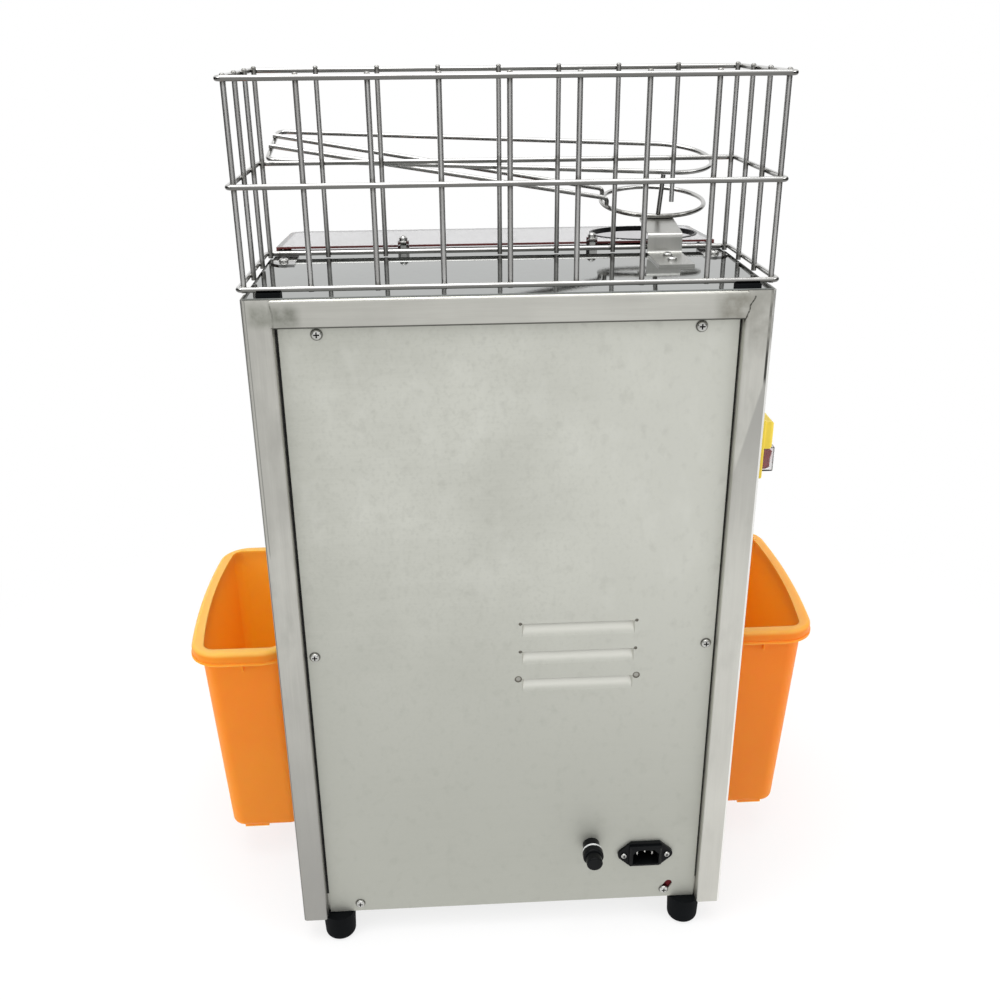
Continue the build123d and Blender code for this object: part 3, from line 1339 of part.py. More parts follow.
def bin_limits(z, inside):
    """Limits of the bin's wall at a height, x and depth, at its outer face or some way inside it."""
    drop = (RIM_Z - z) / BIN_H
    low_x = BIN_X0 + BIN_RIM_W + BIN_TAPER_IN * drop + inside
    high_x = BIN_X0 + BIN_W - BIN_RIM_W - BIN_TAPER_OUT * drop - inside
    near = BIN_BACK + BIN_RIM_W + BIN_TAPER_END * drop + inside
    far = BIN_BACK + BIN_L - BIN_RIM_W - BIN_TAPER_END * drop - inside
    return (low_x, high_x), (near, far)


def bin_wall(low, inside, edge):
    """Tapered block from a height up to the rim, with a rounded lower edge."""
    radius = max(BIN_WALL_R - inside, 0.5)
    ends = []
    for z in (low, RIM_Z):
        x, d = bin_limits(z, inside)
        ends.append((Pos(0, 0, z) * bin_plan(x, d, radius)).face())
    form = loft(ends)
    return fillet(form.edges().group_by(Axis.Z)[0], edge)


def rim_block(inset, low, high):
    """Upright block with the plan of the bin's rim."""
    x = (BIN_X0 + inset, BIN_X0 + BIN_W - inset)
    d = (BIN_BACK + inset, BIN_BACK + BIN_L - inset)
    return Pos(0, 0, low) * extrude(bin_plan(x, d, BIN_RIM_R - inset), high - low, dir=(0, 0, 1))


def peel_bin(side):
    """Tapered bin with a turned-down beaded rim, a rib under it and small feet."""
    skirt = RIM_Z - BIN_SKIRT
    rim = rim_block(0, skirt, RIM_Z)
    rim = fillet(rim.edges().group_by(Axis.Z)[-1], BIN_RIM_EDGE)
    rim += rim_block(-BIN_BEAD, skirt, skirt + BIN_BEAD_H)
    rim -= rim_block(BIN_SKIRT_T, skirt - BIN_SKIRT, RIM_Z - BIN_T)
    body = rim + bin_wall(BIN_LIFT, 0, BIN_LOW_EDGE)
    x, d = bin_limits(skirt, 0)
    middle = (x[0] + x[1]) / 2
    rib = (middle - BIN_RIB_W / 2, middle + BIN_RIB_W / 2)
    body += block(rib, (d[0] - BIN_RIB_OUT, d[0] + BIN_T), (skirt - BIN_RIB_H, skirt + BIN_BEAD_H))
    body -= bin_wall(BIN_LIFT + BIN_T, BIN_T, BIN_LOW_EDGE - BIN_T)
    x, d = bin_limits(BIN_LIFT, 0)
    for foot_d in (d[0] + BIN_FOOT_IN, d[1] - BIN_FOOT_IN):
        place = Pos(x[1] - BIN_FOOT_W, REAR_Y - foot_d, BIN_LIFT - BIN_FOOT_H)
        body += place * Box(BIN_FOOT_W, BIN_FOOT_L, BIN_FOOT_H, align=BASE)
    return body if side > 0 else Pos(0, 0, LEFT_BIN_UP) * mirror(body, Plane.YZ)


def bin_hangers():
    """Bent strips on the cabinet's sides, whose turned-up lips go up under the bins' rims."""
    leg = HALF_W
    lip = BIN_X0 + BIN_SKIRT_T + (BIN_RIM_W - BIN_SKIRT_T - HANGER_T) / 2
    floor = RIM_Z - BIN_SKIRT - HANGER_UNDER
    top = RIM_Z - BIN_T - CLEAR
    face = outline(
        [
            (leg, floor - HANGER_T),
            (lip + HANGER_T, floor - HANGER_T),
            (lip + HANGER_T, top),
            (lip, top),
            (lip, floor),
            (leg + HANGER_T, floor),
            (leg + HANGER_T, top),
            (leg, top),
        ]
    )
    strip = extrude(facing_front(BIN_BACK + BIN_RIM_R + HANGER_IN) * face, HANGER_L)
    return group([Pos(0, 0, LEFT_BIN_UP) * mirror(strip, Plane.YZ), strip])


def pieces():
    """Every node of the machine by name."""
    nodes = {
        "frame_posts": frame_posts(),
        "frame_rails": frame_rails(),
        "panel_strips": panel_strips(),
        "rear_panel": rear_panel(),
        "side_panels": side_panels(),
        "top_plate": top_plate(),
        "chamber_wall": chamber_wall(),
        "base_plate": base_plate(),
        "rubber_feet": rubber_feet(),
        "rear_screws": rear_screws(),
        "top_screws": top_screws(),
        "acorn_nuts": acorn_nuts(),
        "inlet_socket": inlet_socket(),
        "inlet_pins": inlet_pins(),
        "fuse_holder": fuse_holder(),
        "fuse_cap": fuse_cap(),
        "switch_plate": switch_plate(),
        "switch_rocker": switch_rocker(),
        "switch_cover": switch_cover(),
        "basket_rings": basket_rings(),
        "basket_rods": basket_rods(),
        "basket_tabs": basket_tabs(),
        "basket_pads": basket_pads(),
        "feeder_bracket": feeder_bracket(),
        "feeder_ring": feeder_ring(),
        "feeder_rails": feeder_rails(),
        "feeder_guard": feeder_guard(),
        "gear_plate": gear_plate(),
        "plate_posts": plate_posts(),
        "bearings": bearings(),
        "gearbox": gearbox(),
        "motor": motor(),
        "drive_pinion": drive_pinion(),
        "knife": knife(),
        "peel_ejectors": peel_ejectors(),
        "feed_trough": feed_trough(),
        "hood": hood(),
        "feed_throat": feed_throat(),
        "hood_seal": hood_seal(),
        "juice_tank": juice_tank(),
        "tank_rails": tank_rails(),
        "strainer": strainer(),
        "tap_body": tap_body(),
        "tap_lever": tap_lever(),
        "left_bin": peel_bin(-1),
        "right_bin": peel_bin(1),
        "bin_hangers": bin_hangers(),
    }
    for name in drum_axes():
        nodes[f"{name}_drum"] = drum(name)
        nodes[f"{name}_shaft"] = drum_shaft(name)
        nodes[f"{name}_gear"] = drum_gear(name)
    return nodes


os.makedirs("parts", exist_ok=True)
for node, shape in pieces().items():
    export_step(shape, f"parts/{node}.step")
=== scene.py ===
from math import cos, sin

import bpy
from mathutils import Matrix, Vector


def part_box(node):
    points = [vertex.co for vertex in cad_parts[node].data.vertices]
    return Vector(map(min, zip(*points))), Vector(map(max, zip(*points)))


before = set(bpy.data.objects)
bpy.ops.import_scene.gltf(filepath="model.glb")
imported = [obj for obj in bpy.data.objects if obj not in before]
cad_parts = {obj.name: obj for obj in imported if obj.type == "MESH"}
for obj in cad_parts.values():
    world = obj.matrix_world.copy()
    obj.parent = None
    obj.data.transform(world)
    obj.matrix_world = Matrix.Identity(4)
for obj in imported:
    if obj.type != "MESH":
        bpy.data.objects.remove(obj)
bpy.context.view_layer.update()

# Where the machine stands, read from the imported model, in metres
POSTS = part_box("frame_posts")
REAR_Y = POSTS[1][1]
FOOT_TOP = POSTS[0][2]
POST_TOP = POSTS[1][2]
HALF_W = POSTS[1][0]
TUBE = 0.022
CORNER_X = HALF_W - TUBE
RAIL_LOW = POST_TOP - TUBE
PLATE_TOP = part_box("top_plate")[1][2]
PANEL_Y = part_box("rear_panel")[1][1]
MIDDLE_RING_Z = PLATE_TOP + 0.0764

# Camera: place from the cabinet's rear face and foot, then its aim, roll and lens
CAMERA_FROM_REAR = (0.05097, 0.77163, 0.75844)
CAMERA_FORWARD = (-0.04906, -0.91511, -0.40021)
CAMERA_RIGHT = (-0.99857, 0.05354, 0.0)
CAMERA_ROLL = -0.00835
CAMERA_LENS = 38.83
SENSOR_W = 36.0
CLIP_START = 0.01

# Depths between which a mark fades in, so that it stays on the frame's rear faces
REAR_FACE = (REAR_Y - 0.003, REAR_Y - 0.002)
WELD_FACE = (REAR_Y - 0.004, REAR_Y - 0.003)

# Noise patterns: cells to the metre, stretch along each axis, detail
EVEN = (1.0, 1.0, 1.0)
STEEL_CLOUD = (9.0, EVEN, 5.0)
SMUDGE_CLOUD = (110.0, EVEN, 5.0)
SEAM_RAGGED = (420.0, EVEN, 3.0)
WIRE_PATCHES = (24.0, EVEN, 2.0)
WIRE_DRAWN = (260.0, EVEN, 2.0)
PLASTIC_SHADE = (14.0, EVEN, 3.0)
PLASTIC_SKIN = (900.0, EVEN, 1.0)
CLEAR_HAZE = (30.0, EVEN, 4.0)
BIN_SHADE = (9.0, EVEN, 3.0)
BIN_SKIN = (700.0, EVEN, 1.0)

# Brushed steel: cells of its grain and its streaks, the least stretch of a streak, the grain's share
GRAIN_SCALE = 900.0
STREAK_SCALE = 170.0
STREAK_LEAST = 0.06
GRAIN_SHARE = 0.14

# Where along a noise a finish is darkest and lightest
STEEL_STOPS = (0.38, 0.62)
PLAIN_STOPS = (0.35, 0.65)
HAZE_STOPS = (0.3, 0.7)

# Relief of the finishes: depth in metres, strength
STEEL_RELIEF = (0.00003, 0.25)
WIRE_RELIEF = (0.00004, 0.15)
PLAIN_RELIEF = (0.00005, 0.25)
BIN_RELIEF = (0.00006, 0.3)

# Worn patches: noise, share, where in the noise they start and are full, shade
POST_SCUFFS = ((64.0, (1.0, 1.0, 0.45), 6.0), 0.45, 0.55, 0.74, (0.37, 0.366, 0.335))
PANEL_SPECKLE = ((330.0, EVEN, 4.0), 0.26, 0.50, 0.72, (0.44, 0.445, 0.40))
PANEL_PALE = ((52.0, (1.0, 1.0, 0.55), 7.0), 0.26, 0.54, 0.72, (0.71, 0.715, 0.67))
PANEL_SCUFFS = ((110.0, (1.0, 1.0, 0.8), 7.0), 0.20, 0.56, 0.74, (0.38, 0.38, 0.34))

# Heat smudges by the upper welds: x, z, half width, half height, shade
WELD_SMUDGES = (
    (CORNER_X - 0.0085, POST_TOP - 0.0130, 0.0120, 0.0100, (0.20, 0.205, 0.175)),
    (CORNER_X + 0.0085, POST_TOP - 0.0110, 0.0100, 0.0105, (0.25, 0.255, 0.22)),
    (-CORNER_X + 0.0060, POST_TOP - 0.0130, 0.0170, 0.0150, (0.27, 0.262, 0.225)),
    (-CORNER_X - 0.0130, POST_TOP - 0.0180, 0.0125, 0.0300, (0.385, 0.38, 0.345)),
)
SMUDGE_CORE = 0.4
SMUDGE_FADE = 0.8
SMUDGE_LEAST = 0.25

# Weld seams: side, then the drop and outward shift of three points down the seam, and the shade
WELD_SEAMS = (
    (-1, (0.0045, 0.0062), (0.0120, 0.0028), (0.0260, -0.0006), (0.05, 0.048, 0.042)),
    (1, (0.0030, 0.0010), (0.0120, -0.0004), (0.0270, 0.0002), (0.24, 0.24, 0.215)),
)
SEAM_HALF = 0.0004
SEAM_END = 0.001
SEAM_LEAST = 0.35
SEAM_STOPS = (0.35, 0.55)

# Painted dark reflections along the posts' rear faces where they turn into their rounded edges: x, half
# width, lower end, shade
EDGE_REFLECTION_LINES = (
    (HALF_W - 0.0008, 0.0004, FOOT_TOP, (0.22, 0.22, 0.205)),
    (HALF_W - 0.0034, 0.00025, POST_TOP - 0.20, (0.28, 0.28, 0.26)),
    (-HALF_W + 0.0034, 0.0006, POST_TOP - 0.066, (0.06, 0.06, 0.055)),
)
EDGE_REFLECTION_FADE = 0.008

# Painted light on the post at -x: a painted bright sheen lower down, a painted dark slanting reflection
# below the edge line, a painted highlight on the rounded edge
POST_SIDE_X = (-0.10, 0.0)
SHEEN_SHARE = 0.42
SHEEN_Z = (POST_TOP - 0.25, POST_TOP - 0.17)
PAINTED_SHEEN_SHADE = (0.66, 0.655, 0.605)
SLANT_X = (-CORNER_X, -HALF_W + 0.0045)
SLANT_Z = (POST_TOP - 0.145, POST_TOP - 0.070)
SLANT_FADE = (POST_TOP - 0.20, POST_TOP - 0.09)
SLANT_SOFT = 0.0015
SLANT_END = 0.005
SLANT_REFLECTION_SHADE = (0.41, 0.405, 0.38)
EDGE_HIGHLIGHT_X = -HALF_W + 0.0024
EDGE_HIGHLIGHT_SOFT = 0.0003
EDGE_HIGHLIGHT_SHADE = (0.88, 0.88, 0.85)

# Painted shade at the foot of the post at +x, darker towards the foot
POST_FOOT_SHADE_SHARE = 0.9
POST_FOOT_SHADE_Z = (FOOT_TOP + 0.02, FOOT_TOP + 0.30)
POST_FOOT_SHADE_X = (0.0, 0.1)
POST_PAINTED_FOOT_SHADE = (0.33, 0.326, 0.308)

# Rails: the painted shadow line under the upper ones, and the dark red seen through the panel's slot
RAIL_SHADOW_HALF = 0.0014
RAIL_SHADOW_SOFT = 0.0006
RAIL_SHADOW_SHADE = (0.14, 0.14, 0.128)
SLOT_AT = (-0.1451, 0.0404)
SLOT_HALF = 0.009
SLOT_SOFT = 0.001
SLOT_SHADE = (0.10, 0.012, 0.016)

# Rear panel: painted light brighter towards -x, painted shade darker towards the foot, pale patches higher
# up
PANEL_SHADES = ((0.63, 0.635, 0.585), (0.53, 0.535, 0.485))
LIT_SHARE = 0.7
LIT_X = (-0.16, 0.03)
PANEL_PAINTED_LIGHT = (0.645, 0.65, 0.60)
PANEL_SHADOW_SHARE = 0.85
PANEL_SHADOW_Z = (FOOT_TOP + 0.08, FOOT_TOP + 0.42)
PANEL_PAINTED_SHADE = (0.475, 0.48, 0.435)
PALE_Z = (FOOT_TOP + 0.22, FOOT_TOP + 0.42)

# Rear panel: painted contact shadow round its screws, given for one side
SCREW_PLACES = (
    (0.143, POST_TOP - 0.028),
    (0.165, FOOT_TOP + 0.279),
    (0.143, FOOT_TOP + 0.010),
)
SCREW_SHADOW_R = 0.0043
SCREW_SHADOW_SOFT = 0.0007
SCREW_CONTACT_SHADOW = (0.16, 0.16, 0.145)

# Rear panel: its louvres with their painted sheen, and the marks beside their ends
LOUVRE_X = -0.056
LOUVRE_HALF = 0.0475
LOUVRE_EDGE = (LOUVRE_HALF - 0.0003, LOUVRE_HALF)
LOUVRE_END = (LOUVRE_HALF - 0.003, LOUVRE_HALF - 0.002)
LOUVRE_SUNK = (PANEL_Y - 0.0019, PANEL_Y - 0.0002)
LOUVRE_PAINTED_SHEEN = (0.70, 0.70, 0.65)
MARK_SUNK = (PANEL_Y - 0.0006, PANEL_Y - 0.0001)
MARK_REACH = (LOUVRE_HALF + 0.008, LOUVRE_HALF + 0.0085)
MARK_SHADE = (0.20, 0.19, 0.165)
LOW_MARK_R = 0.0032
LOW_MARK_Z = FOOT_TOP + 0.2495
LOW_MARK_CORE = 0.45
LOW_MARK_FADE = 0.3
LOW_MARK_SHADE = (0.40, 0.395, 0.36)

# Wire: tones of its dull and clean patches, painted shade on its underside, its burnt welds with painted
# contact shade
WIRE_DULL = (1.0, 0.99, 0.96)
WIRE_CLEAN = (1.0, 1.0, 0.98)
UNDERSIDE_STOPS = (0.05, 0.45)
UNDERSIDE_PAINTED_SHADE = (0.15, 0.148, 0.14)
BURNT_HALF = 0.0022
BURNT_SOFT = 0.0035
BURNT_SHARES = (0.35, 0.85)
BURNT_AND_SHADOW_SHADE = (0.16, 0.155, 0.14)
WELD_INSET = 0.002

# Clear sheet
CLEAR_IOR = 1.45
CLEAR_ROUGH = (0.01, 0.06)

# Bins: light through the wall, gloss, and for each the green of its wall and the painted highlight of its
# rim
BIN_GLOW = 0.012
BIN_RADIUS = (1.0, 0.7, 0.3)
BIN_GLOSS = 0.3
BIN_ROUGH = (0.40, 0.52)
BIN_GREEN_STEP = 0.012
BINS = {
    "left_bin": (0.226, (1.0, 0.37, 0.065)),
    "right_bin": (0.252, (1.0, 0.43, 0.085)),
}
# Depth below the rim over which the painted highlight fades in, in metres
RIM_HIGHLIGHT_DEPTH = 0.004

# A bin's faces that look towards its middle: how far the middle lies before them, and the painted light
# that makes them paler against their shade
BIN_INSIDE = (-0.004, 0.0)
BIN_INSIDE_PAINTED_LIGHT = (1.0, 0.39, 0.055)

# Small pieces: painted shade on the floor of a screw's recess, bright ring of the fuse holder, knob at a
# shaft's front end
RECESS_HALF = 0.00006
RECESS_SOFT = 0.00004
RECESS_PAINTED_SHADE = (0.015, 0.015, 0.015)
REAR_RECESSES = (REAR_Y - 0.0077, REAR_Y - 0.0049)
TOP_RECESSES = (PLATE_TOP + 0.0025, PLATE_TOP + 0.0033)
FUSE_RING = (0.0024, 0.0021)
FUSE_RING_SHADE = (0.62, 0.63, 0.63)
KNOB_LONG = (0.0088, 0.0092)
KNOB_SHADE = (0.010, 0.011, 0.012)

# Black plastic
BLACK = ((0.006, 0.0065, 0.007), (0.003, 0.0035, 0.004))
BLACK_ROUGH = (0.22, 0.34)
BLACK_GLOSS = 0.10

# Light levels, and how the floor turns from a soft shadow to plain white, in metres from the machine
WHITE = (1.0, 1.0, 1.0, 1.0)
WORLD_LIGHT = 0.82
TOP_POWER = 27.0
SIDE_POWER = 17.0
SHADOW_SHARE = 0.24
SHADOW_NEAR = 0.30
SHADOW_FAR = 0.95
FLOOR_SIZE = 60.0
FLOOR_SHADE = (0.9, 0.9, 0.9, 1.0)

# Lamps: where they stand, what they are aimed at, how large they are
LAMP_TARGET = (0.0, 0.0, 0.4)
TOP_LAMP_AT = (0.2, 0.3, 2.4)
TOP_LAMP_SIZE = 1.6
SIDE_LAMP_AT = (1.9, 1.2, 1.6)
SIDE_LAMP_SIZE = 1.4

# Dark cards at the sides, which only reflections see
CARD_X = 1.0
CARD_Y = (-0.6, 1.8)
CARD_Z = (0.40, 1.15)
CARD_SHADE = (0.03, 0.03, 0.03, 1.0)


# Materials made of nodes
class Finish:
    """Material whose patterns lie in the object's own metres."""

    def __init__(self, name, **sockets):
        self.material = bpy.data.materials.new(name)
        self.material.use_nodes = True
        self.tree = self.material.node_tree
        self.shader = self.tree.nodes["Principled BSDF"]
        self.place = self.add("ShaderNodeTexCoord").outputs["Object"]
        for socket, value in sockets.items():
            self.shader.inputs[socket.replace("_", " ")].default_value = value

    def add(self, kind, **settings):
        """New node with its settings."""
        node = self.tree.nodes.new(kind)
        for key, value in settings.items():
            setattr(node, key, value)
        return node

    def join(self, output, socket):
        """Joins a node's output to another node's socket."""
        self.tree.links.new(output, socket)

    def feed(self, output, socket):
        """Joins a node's output to one of the shader's sockets."""
        self.join(output, self.shader.inputs[socket])

    def stretched(self, stretch):
        """The object's place, scaled along each axis."""
        mapping = self.add("ShaderNodeMapping")
        mapping.inputs["Scale"].default_value = stretch
        self.join(self.place, mapping.inputs["Vector"])
        return mapping.outputs["Vector"]

    def noise(self, scale, stretch, detail):
        """Soft noise, so many cells to the metre."""
        texture = self.add("ShaderNodeTexNoise")
        texture.inputs["Scale"].default_value = scale
        texture.inputs["Detail"].default_value = detail
        self.join(self.stretched(stretch), texture.inputs["Vector"])
        return texture.outputs["Fac"]

    def span(self, factor, low, high, start=0.3, end=0.7, smooth=False):
        """Number that goes from low to high as the factor goes from start to end."""
        node = self.add("ShaderNodeMapRange", interpolation_type="SMOOTHSTEP" if smooth else "LINEAR")
        node.inputs["From Min"].default_value = start
        node.inputs["From Max"].default_value = end
        node.inputs["To Min"].default_value = low
        node.inputs["To Max"].default_value = high
        self.join(factor, node.inputs["Value"])
        return node.outputs["Result"]

    def two_tone(self, factor, light, dark, stops=PLAIN_STOPS):
        """Base colour that goes from dark to light along a factor."""
        node = self.add("ShaderNodeValToRGB")
        for element, position, colour in zip(node.color_ramp.elements, stops, (dark, light)):
            element.position = position
            element.color = (*colour, 1.0)
        self.join(factor, node.inputs["Fac"])
        self.feed(node.outputs["Color"], "Base Color")

    def tint(self, mask, colour):
        """Lays a colour over the base colour where a mask is 1."""
        node = self.add("ShaderNodeMix", data_type="RGBA")
        self.join(mask, node.inputs["Factor"])
        first, second = (socket for socket in node.inputs if socket.type == "RGBA")
        self.join(self.shader.inputs["Base Color"].links[0].from_socket, first)
        second.default_value = (*colour, 1.0)
        result = [socket for socket in node.outputs if socket.type == "RGBA"][0]
        self.feed(result, "Base Color")

    def worn(self, patches, *masks):
        """Tints the worn patches of a noise, within any masks."""
        pattern, share, start, end, shade = patches
        spots = self.span(self.noise(*pattern), 0.0, share, start, end)
        self.tint(self.both(spots, *masks), shade)

    def math(self, operation, first, second):
        """Arithmetic on two outputs, or an output and a number."""
        node = self.add("ShaderNodeMath", operation=operation)
        for number, value in enumerate((first, second)):
            if isinstance(value, (int, float)):
                node.inputs[number].default_value = value
            else:
                self.join(value, node.inputs[number])
        return node.outputs["Value"]

    def mixed(self, *shares):
        """Sum of (output, share) pairs."""
        total = None
        for output, share in shares:
            part = self.math("MULTIPLY", output, share)
            total = part if total is None else self.math("ADD", total, part)
        return total

    def both(self, first, *others):
        """Where all the masks are 1."""
        for mask in others:
            first = self.math("MULTIPLY", first, mask)
        return first

    def axis(self, name):
        """One coordinate of the object's place."""
        node = self.add("ShaderNodeSeparateXYZ")
        self.join(self.place, node.inputs["Vector"])
        return node.outputs[name]

    def normal(self):
        """Direction that the surface faces."""
        return self.add("ShaderNodeNewGeometry").outputs["Normal"]

    def offset(self, name, centre):
        """Distance from a place along one axis; the place is a number or an output."""
        return self.math("ABSOLUTE", self.math("SUBTRACT", self.axis(name), centre), 0.0)

    def near(self, name, centre, half, soft):
        """1 within a half width of a coordinate, falling to 0 over a soft edge."""
        return self.span(self.offset(name, centre), 1.0, 0.0, half, half + soft, smooth=True)

    def disc(self, x, z, radius, soft):
        """1 within a radius of the line along y at a place in x and z, falling to 0 over a soft edge."""
        squares = [self.math("POWER", self.offset(name, at), 2.0) for name, at in (("X", x), ("Z", z))]
        reach = self.math("SQRT", self.math("ADD", *squares), 0.0)
        return self.span(reach, 1.0, 0.0, radius, radius + soft, smooth=True)

    def above(self, name, start, end):
        """0 below the start of a coordinate, 1 past its end."""
        return self.span(self.axis(name), 0.0, 1.0, start, end, smooth=True)

    def bump(self, height, distance, strength):
        """Relief of a height pattern, its distance in metres."""
        node = self.add("ShaderNodeBump")
        node.inputs["Distance"].default_value = distance
        node.inputs["Strength"].default_value = strength
        self.join(height, node.inputs["Height"])
        self.feed(node.outputs["Normal"], "Normal")


def satin_steel(name, light, dark, rough=(0.34, 0.46), grain=(1.0, 1.0, 0.03), streaks=0.22):
    """Stainless sheet with a faint grain, cloudy handling marks and streaks along the grain."""
    steel = Finish(name, Metallic=1.0)
    lines = steel.noise(GRAIN_SCALE, grain, 3.0)
    cloud = steel.noise(*STEEL_CLOUD)
    rubbed = steel.noise(STREAK_SCALE, tuple(max(share, STREAK_LEAST) for share in grain), 4.0)
    cloud_share = 1.0 - GRAIN_SHARE - streaks
    wear = steel.mixed((lines, GRAIN_SHARE), (cloud, cloud_share), (rubbed, streaks))
    steel.two_tone(wear, light, dark, STEEL_STOPS)
    steel.feed(steel.span(wear, *rough), "Roughness")
    steel.bump(lines, *STEEL_RELIEF)
    return steel


def weld_smudges(steel):
    """Heat smudges at the frame's upper rear corners."""
    cloud = steel.span(steel.noise(*SMUDGE_CLOUD), SMUDGE_LEAST, 1.0)
    for x, z, half, tall, shade in WELD_SMUDGES:
        across = steel.near("X", x, half * SMUDGE_CORE, half * SMUDGE_FADE)
        upward = steel.near("Z", z, tall * SMUDGE_CORE, tall * SMUDGE_FADE)
        steel.tint(steel.both(across, upward, cloud), shade)


def weld_seams(steel):
    """Thin seams at the frame's upper rear corners."""
    behind = steel.above("Y", *WELD_FACE)
    height = steel.axis("Z")
    for side, top, middle, low, shade in WELD_SEAMS:
        top_z, middle_z, low_z = (POST_TOP - point[0] for point in (top, middle, low))
        upper = steel.span(height, middle[1], top[1], middle_z, top_z, smooth=True)
        lower = steel.span(height, low[1] - middle[1], 0.0, low_z, middle_z, smooth=True)
        shift = steel.math("ADD", upper, lower)
        seam_x = steel.math("MULTIPLY", steel.math("ADD", shift, CORNER_X), side)
        line = steel.near("X", seam_x, SEAM_HALF, SEAM_HALF)
        stretch = steel.near("Z", (top_z + low_z) / 2, (top_z - low_z) / 2, SEAM_END)
        ragged = steel.span(steel.noise(*SEAM_RAGGED), SEAM_LEAST, 1.0, *SEAM_STOPS)
        steel.tint(steel.both(line, stretch, behind, ragged), shade)


def post_painted_light(steel, behind):
    """Painted sheen, a painted dark reflection and a painted edge highlight on the post at -x."""
    height = steel.axis("Z")
    across = steel.axis("X")
    here = steel.span(across, 1.0, 0.0, *POST_SIDE_X)
    # Painted sheen, brighter lower down
    lit = steel.span(height, SHEEN_SHARE, 0.0, *SHEEN_Z, smooth=True)
    steel.tint(steel.both(lit, here), PAINTED_SHEEN_SHADE)
    # Painted dark reflection in a slanting patch below the edge line
    slant = steel.span(height, *SLANT_X, *SLANT_Z)
    outside = steel.span(steel.math("SUBTRACT", slant, across), 0.0, 1.0, 0.0, SLANT_SOFT)
    fade = steel.span(height, 0.0, 1.0, *SLANT_FADE, smooth=True)
    under = steel.span(height, 1.0, 0.0, SLANT_Z[1], SLANT_Z[1] + SLANT_END)
    steel.tint(steel.both(outside, fade, under, here, behind), SLANT_REFLECTION_SHADE)
    # Painted highlight along the rounded edge
    edge_highlight = steel.span(across, 1.0, 0.0, EDGE_HIGHLIGHT_X - EDGE_HIGHLIGHT_SOFT, EDGE_HIGHLIGHT_X)
    steel.tint(steel.both(edge_highlight, behind), EDGE_HIGHLIGHT_SHADE)


def post_finish():
    """Tube steel for the posts, with scuffs, painted shade at a foot, painted highlights, painted dark
    reflections and the weld marks.
    """
    steel = satin_steel("post_steel", (0.60, 0.595, 0.55), (0.46, 0.455, 0.42))
    # Painted shade at the foot of the post at +x
    dull = steel.span(steel.axis("Z"), POST_FOOT_SHADE_SHARE, 0.0, *POST_FOOT_SHADE_Z, smooth=True)
    steel.tint(steel.both(dull, steel.above("X", *POST_FOOT_SHADE_X)), POST_PAINTED_FOOT_SHADE)
    steel.worn(POST_SCUFFS)
    behind = steel.above("Y", *REAR_FACE)
    post_painted_light(steel, behind)
    # Painted dark reflection lines along the posts' rounded edges, on their rear faces
    for x, half, low, shade in EDGE_REFLECTION_LINES:
        upper = steel.above("Z", low - EDGE_REFLECTION_FADE, low)
        steel.tint(steel.both(steel.near("X", x, half, half), upper, behind), shade)
    weld_smudges(steel)
    weld_seams(steel)
    return steel


def rail_finish():
    """Tube steel for the rails, with the weld marks, a painted shadow line under the upper rails and the
    dark red seen through the panel's slot.
    """
    steel = satin_steel("rail_steel", (0.555, 0.552, 0.51), (0.43, 0.426, 0.392), grain=(0.03, 1.0, 1.0))
    weld_smudges(steel)
    weld_seams(steel)
    # Painted shadow line along the lower edge of the upper rails
    line = steel.near("Z", RAIL_LOW, RAIL_SHADOW_HALF, RAIL_SHADOW_SOFT)
    steel.tint(steel.both(line, steel.above("Y", *REAR_FACE)), RAIL_SHADOW_SHADE)
    slot = [steel.near(name, at, SLOT_HALF, SLOT_SOFT) for name, at in zip("XZ", SLOT_AT)]
    steel.tint(steel.both(*slot), SLOT_SHADE)
    return steel


def louvre_sheen_and_marks(steel):
    """Painted sheen on the louvres, most at their ends against the shade of their end walls, and the dark
    marks beside them.
    """
    inward = steel.axis("Y")
    aside = steel.offset("X", LOUVRE_X)
    beside = steel.span(aside, 0.0, 1.0, *LOUVRE_EDGE)
    within = steel.span(aside, 1.0, 0.0, *LOUVRE_EDGE)
    sunk = steel.span(inward, 1.0, 0.0, *LOUVRE_SUNK, smooth=True)
    # Painted sheen on the louvres' sunk slopes
    steel.tint(steel.both(within, sunk), LOUVRE_PAINTED_SHEEN)
    # More painted light at the louvres' ends, against the shade of their end walls
    ends = steel.span(aside, 0.0, 1.0, *LOUVRE_END)
    steel.tint(steel.both(within, ends, sunk), LOUVRE_PAINTED_SHEEN)
    mark = steel.span(inward, 1.0, 0.0, *MARK_SUNK)
    close = steel.span(aside, 1.0, 0.0, *MARK_REACH)
    steel.tint(steel.both(beside, mark, close), MARK_SHADE)
    for side in (-1, 1):
        x = LOUVRE_X + side * (LOUVRE_HALF + LOW_MARK_R)
        spot = steel.disc(x, LOW_MARK_Z, LOW_MARK_R * LOW_MARK_CORE, LOW_MARK_R * LOW_MARK_FADE)
        steel.tint(spot, LOW_MARK_SHADE)


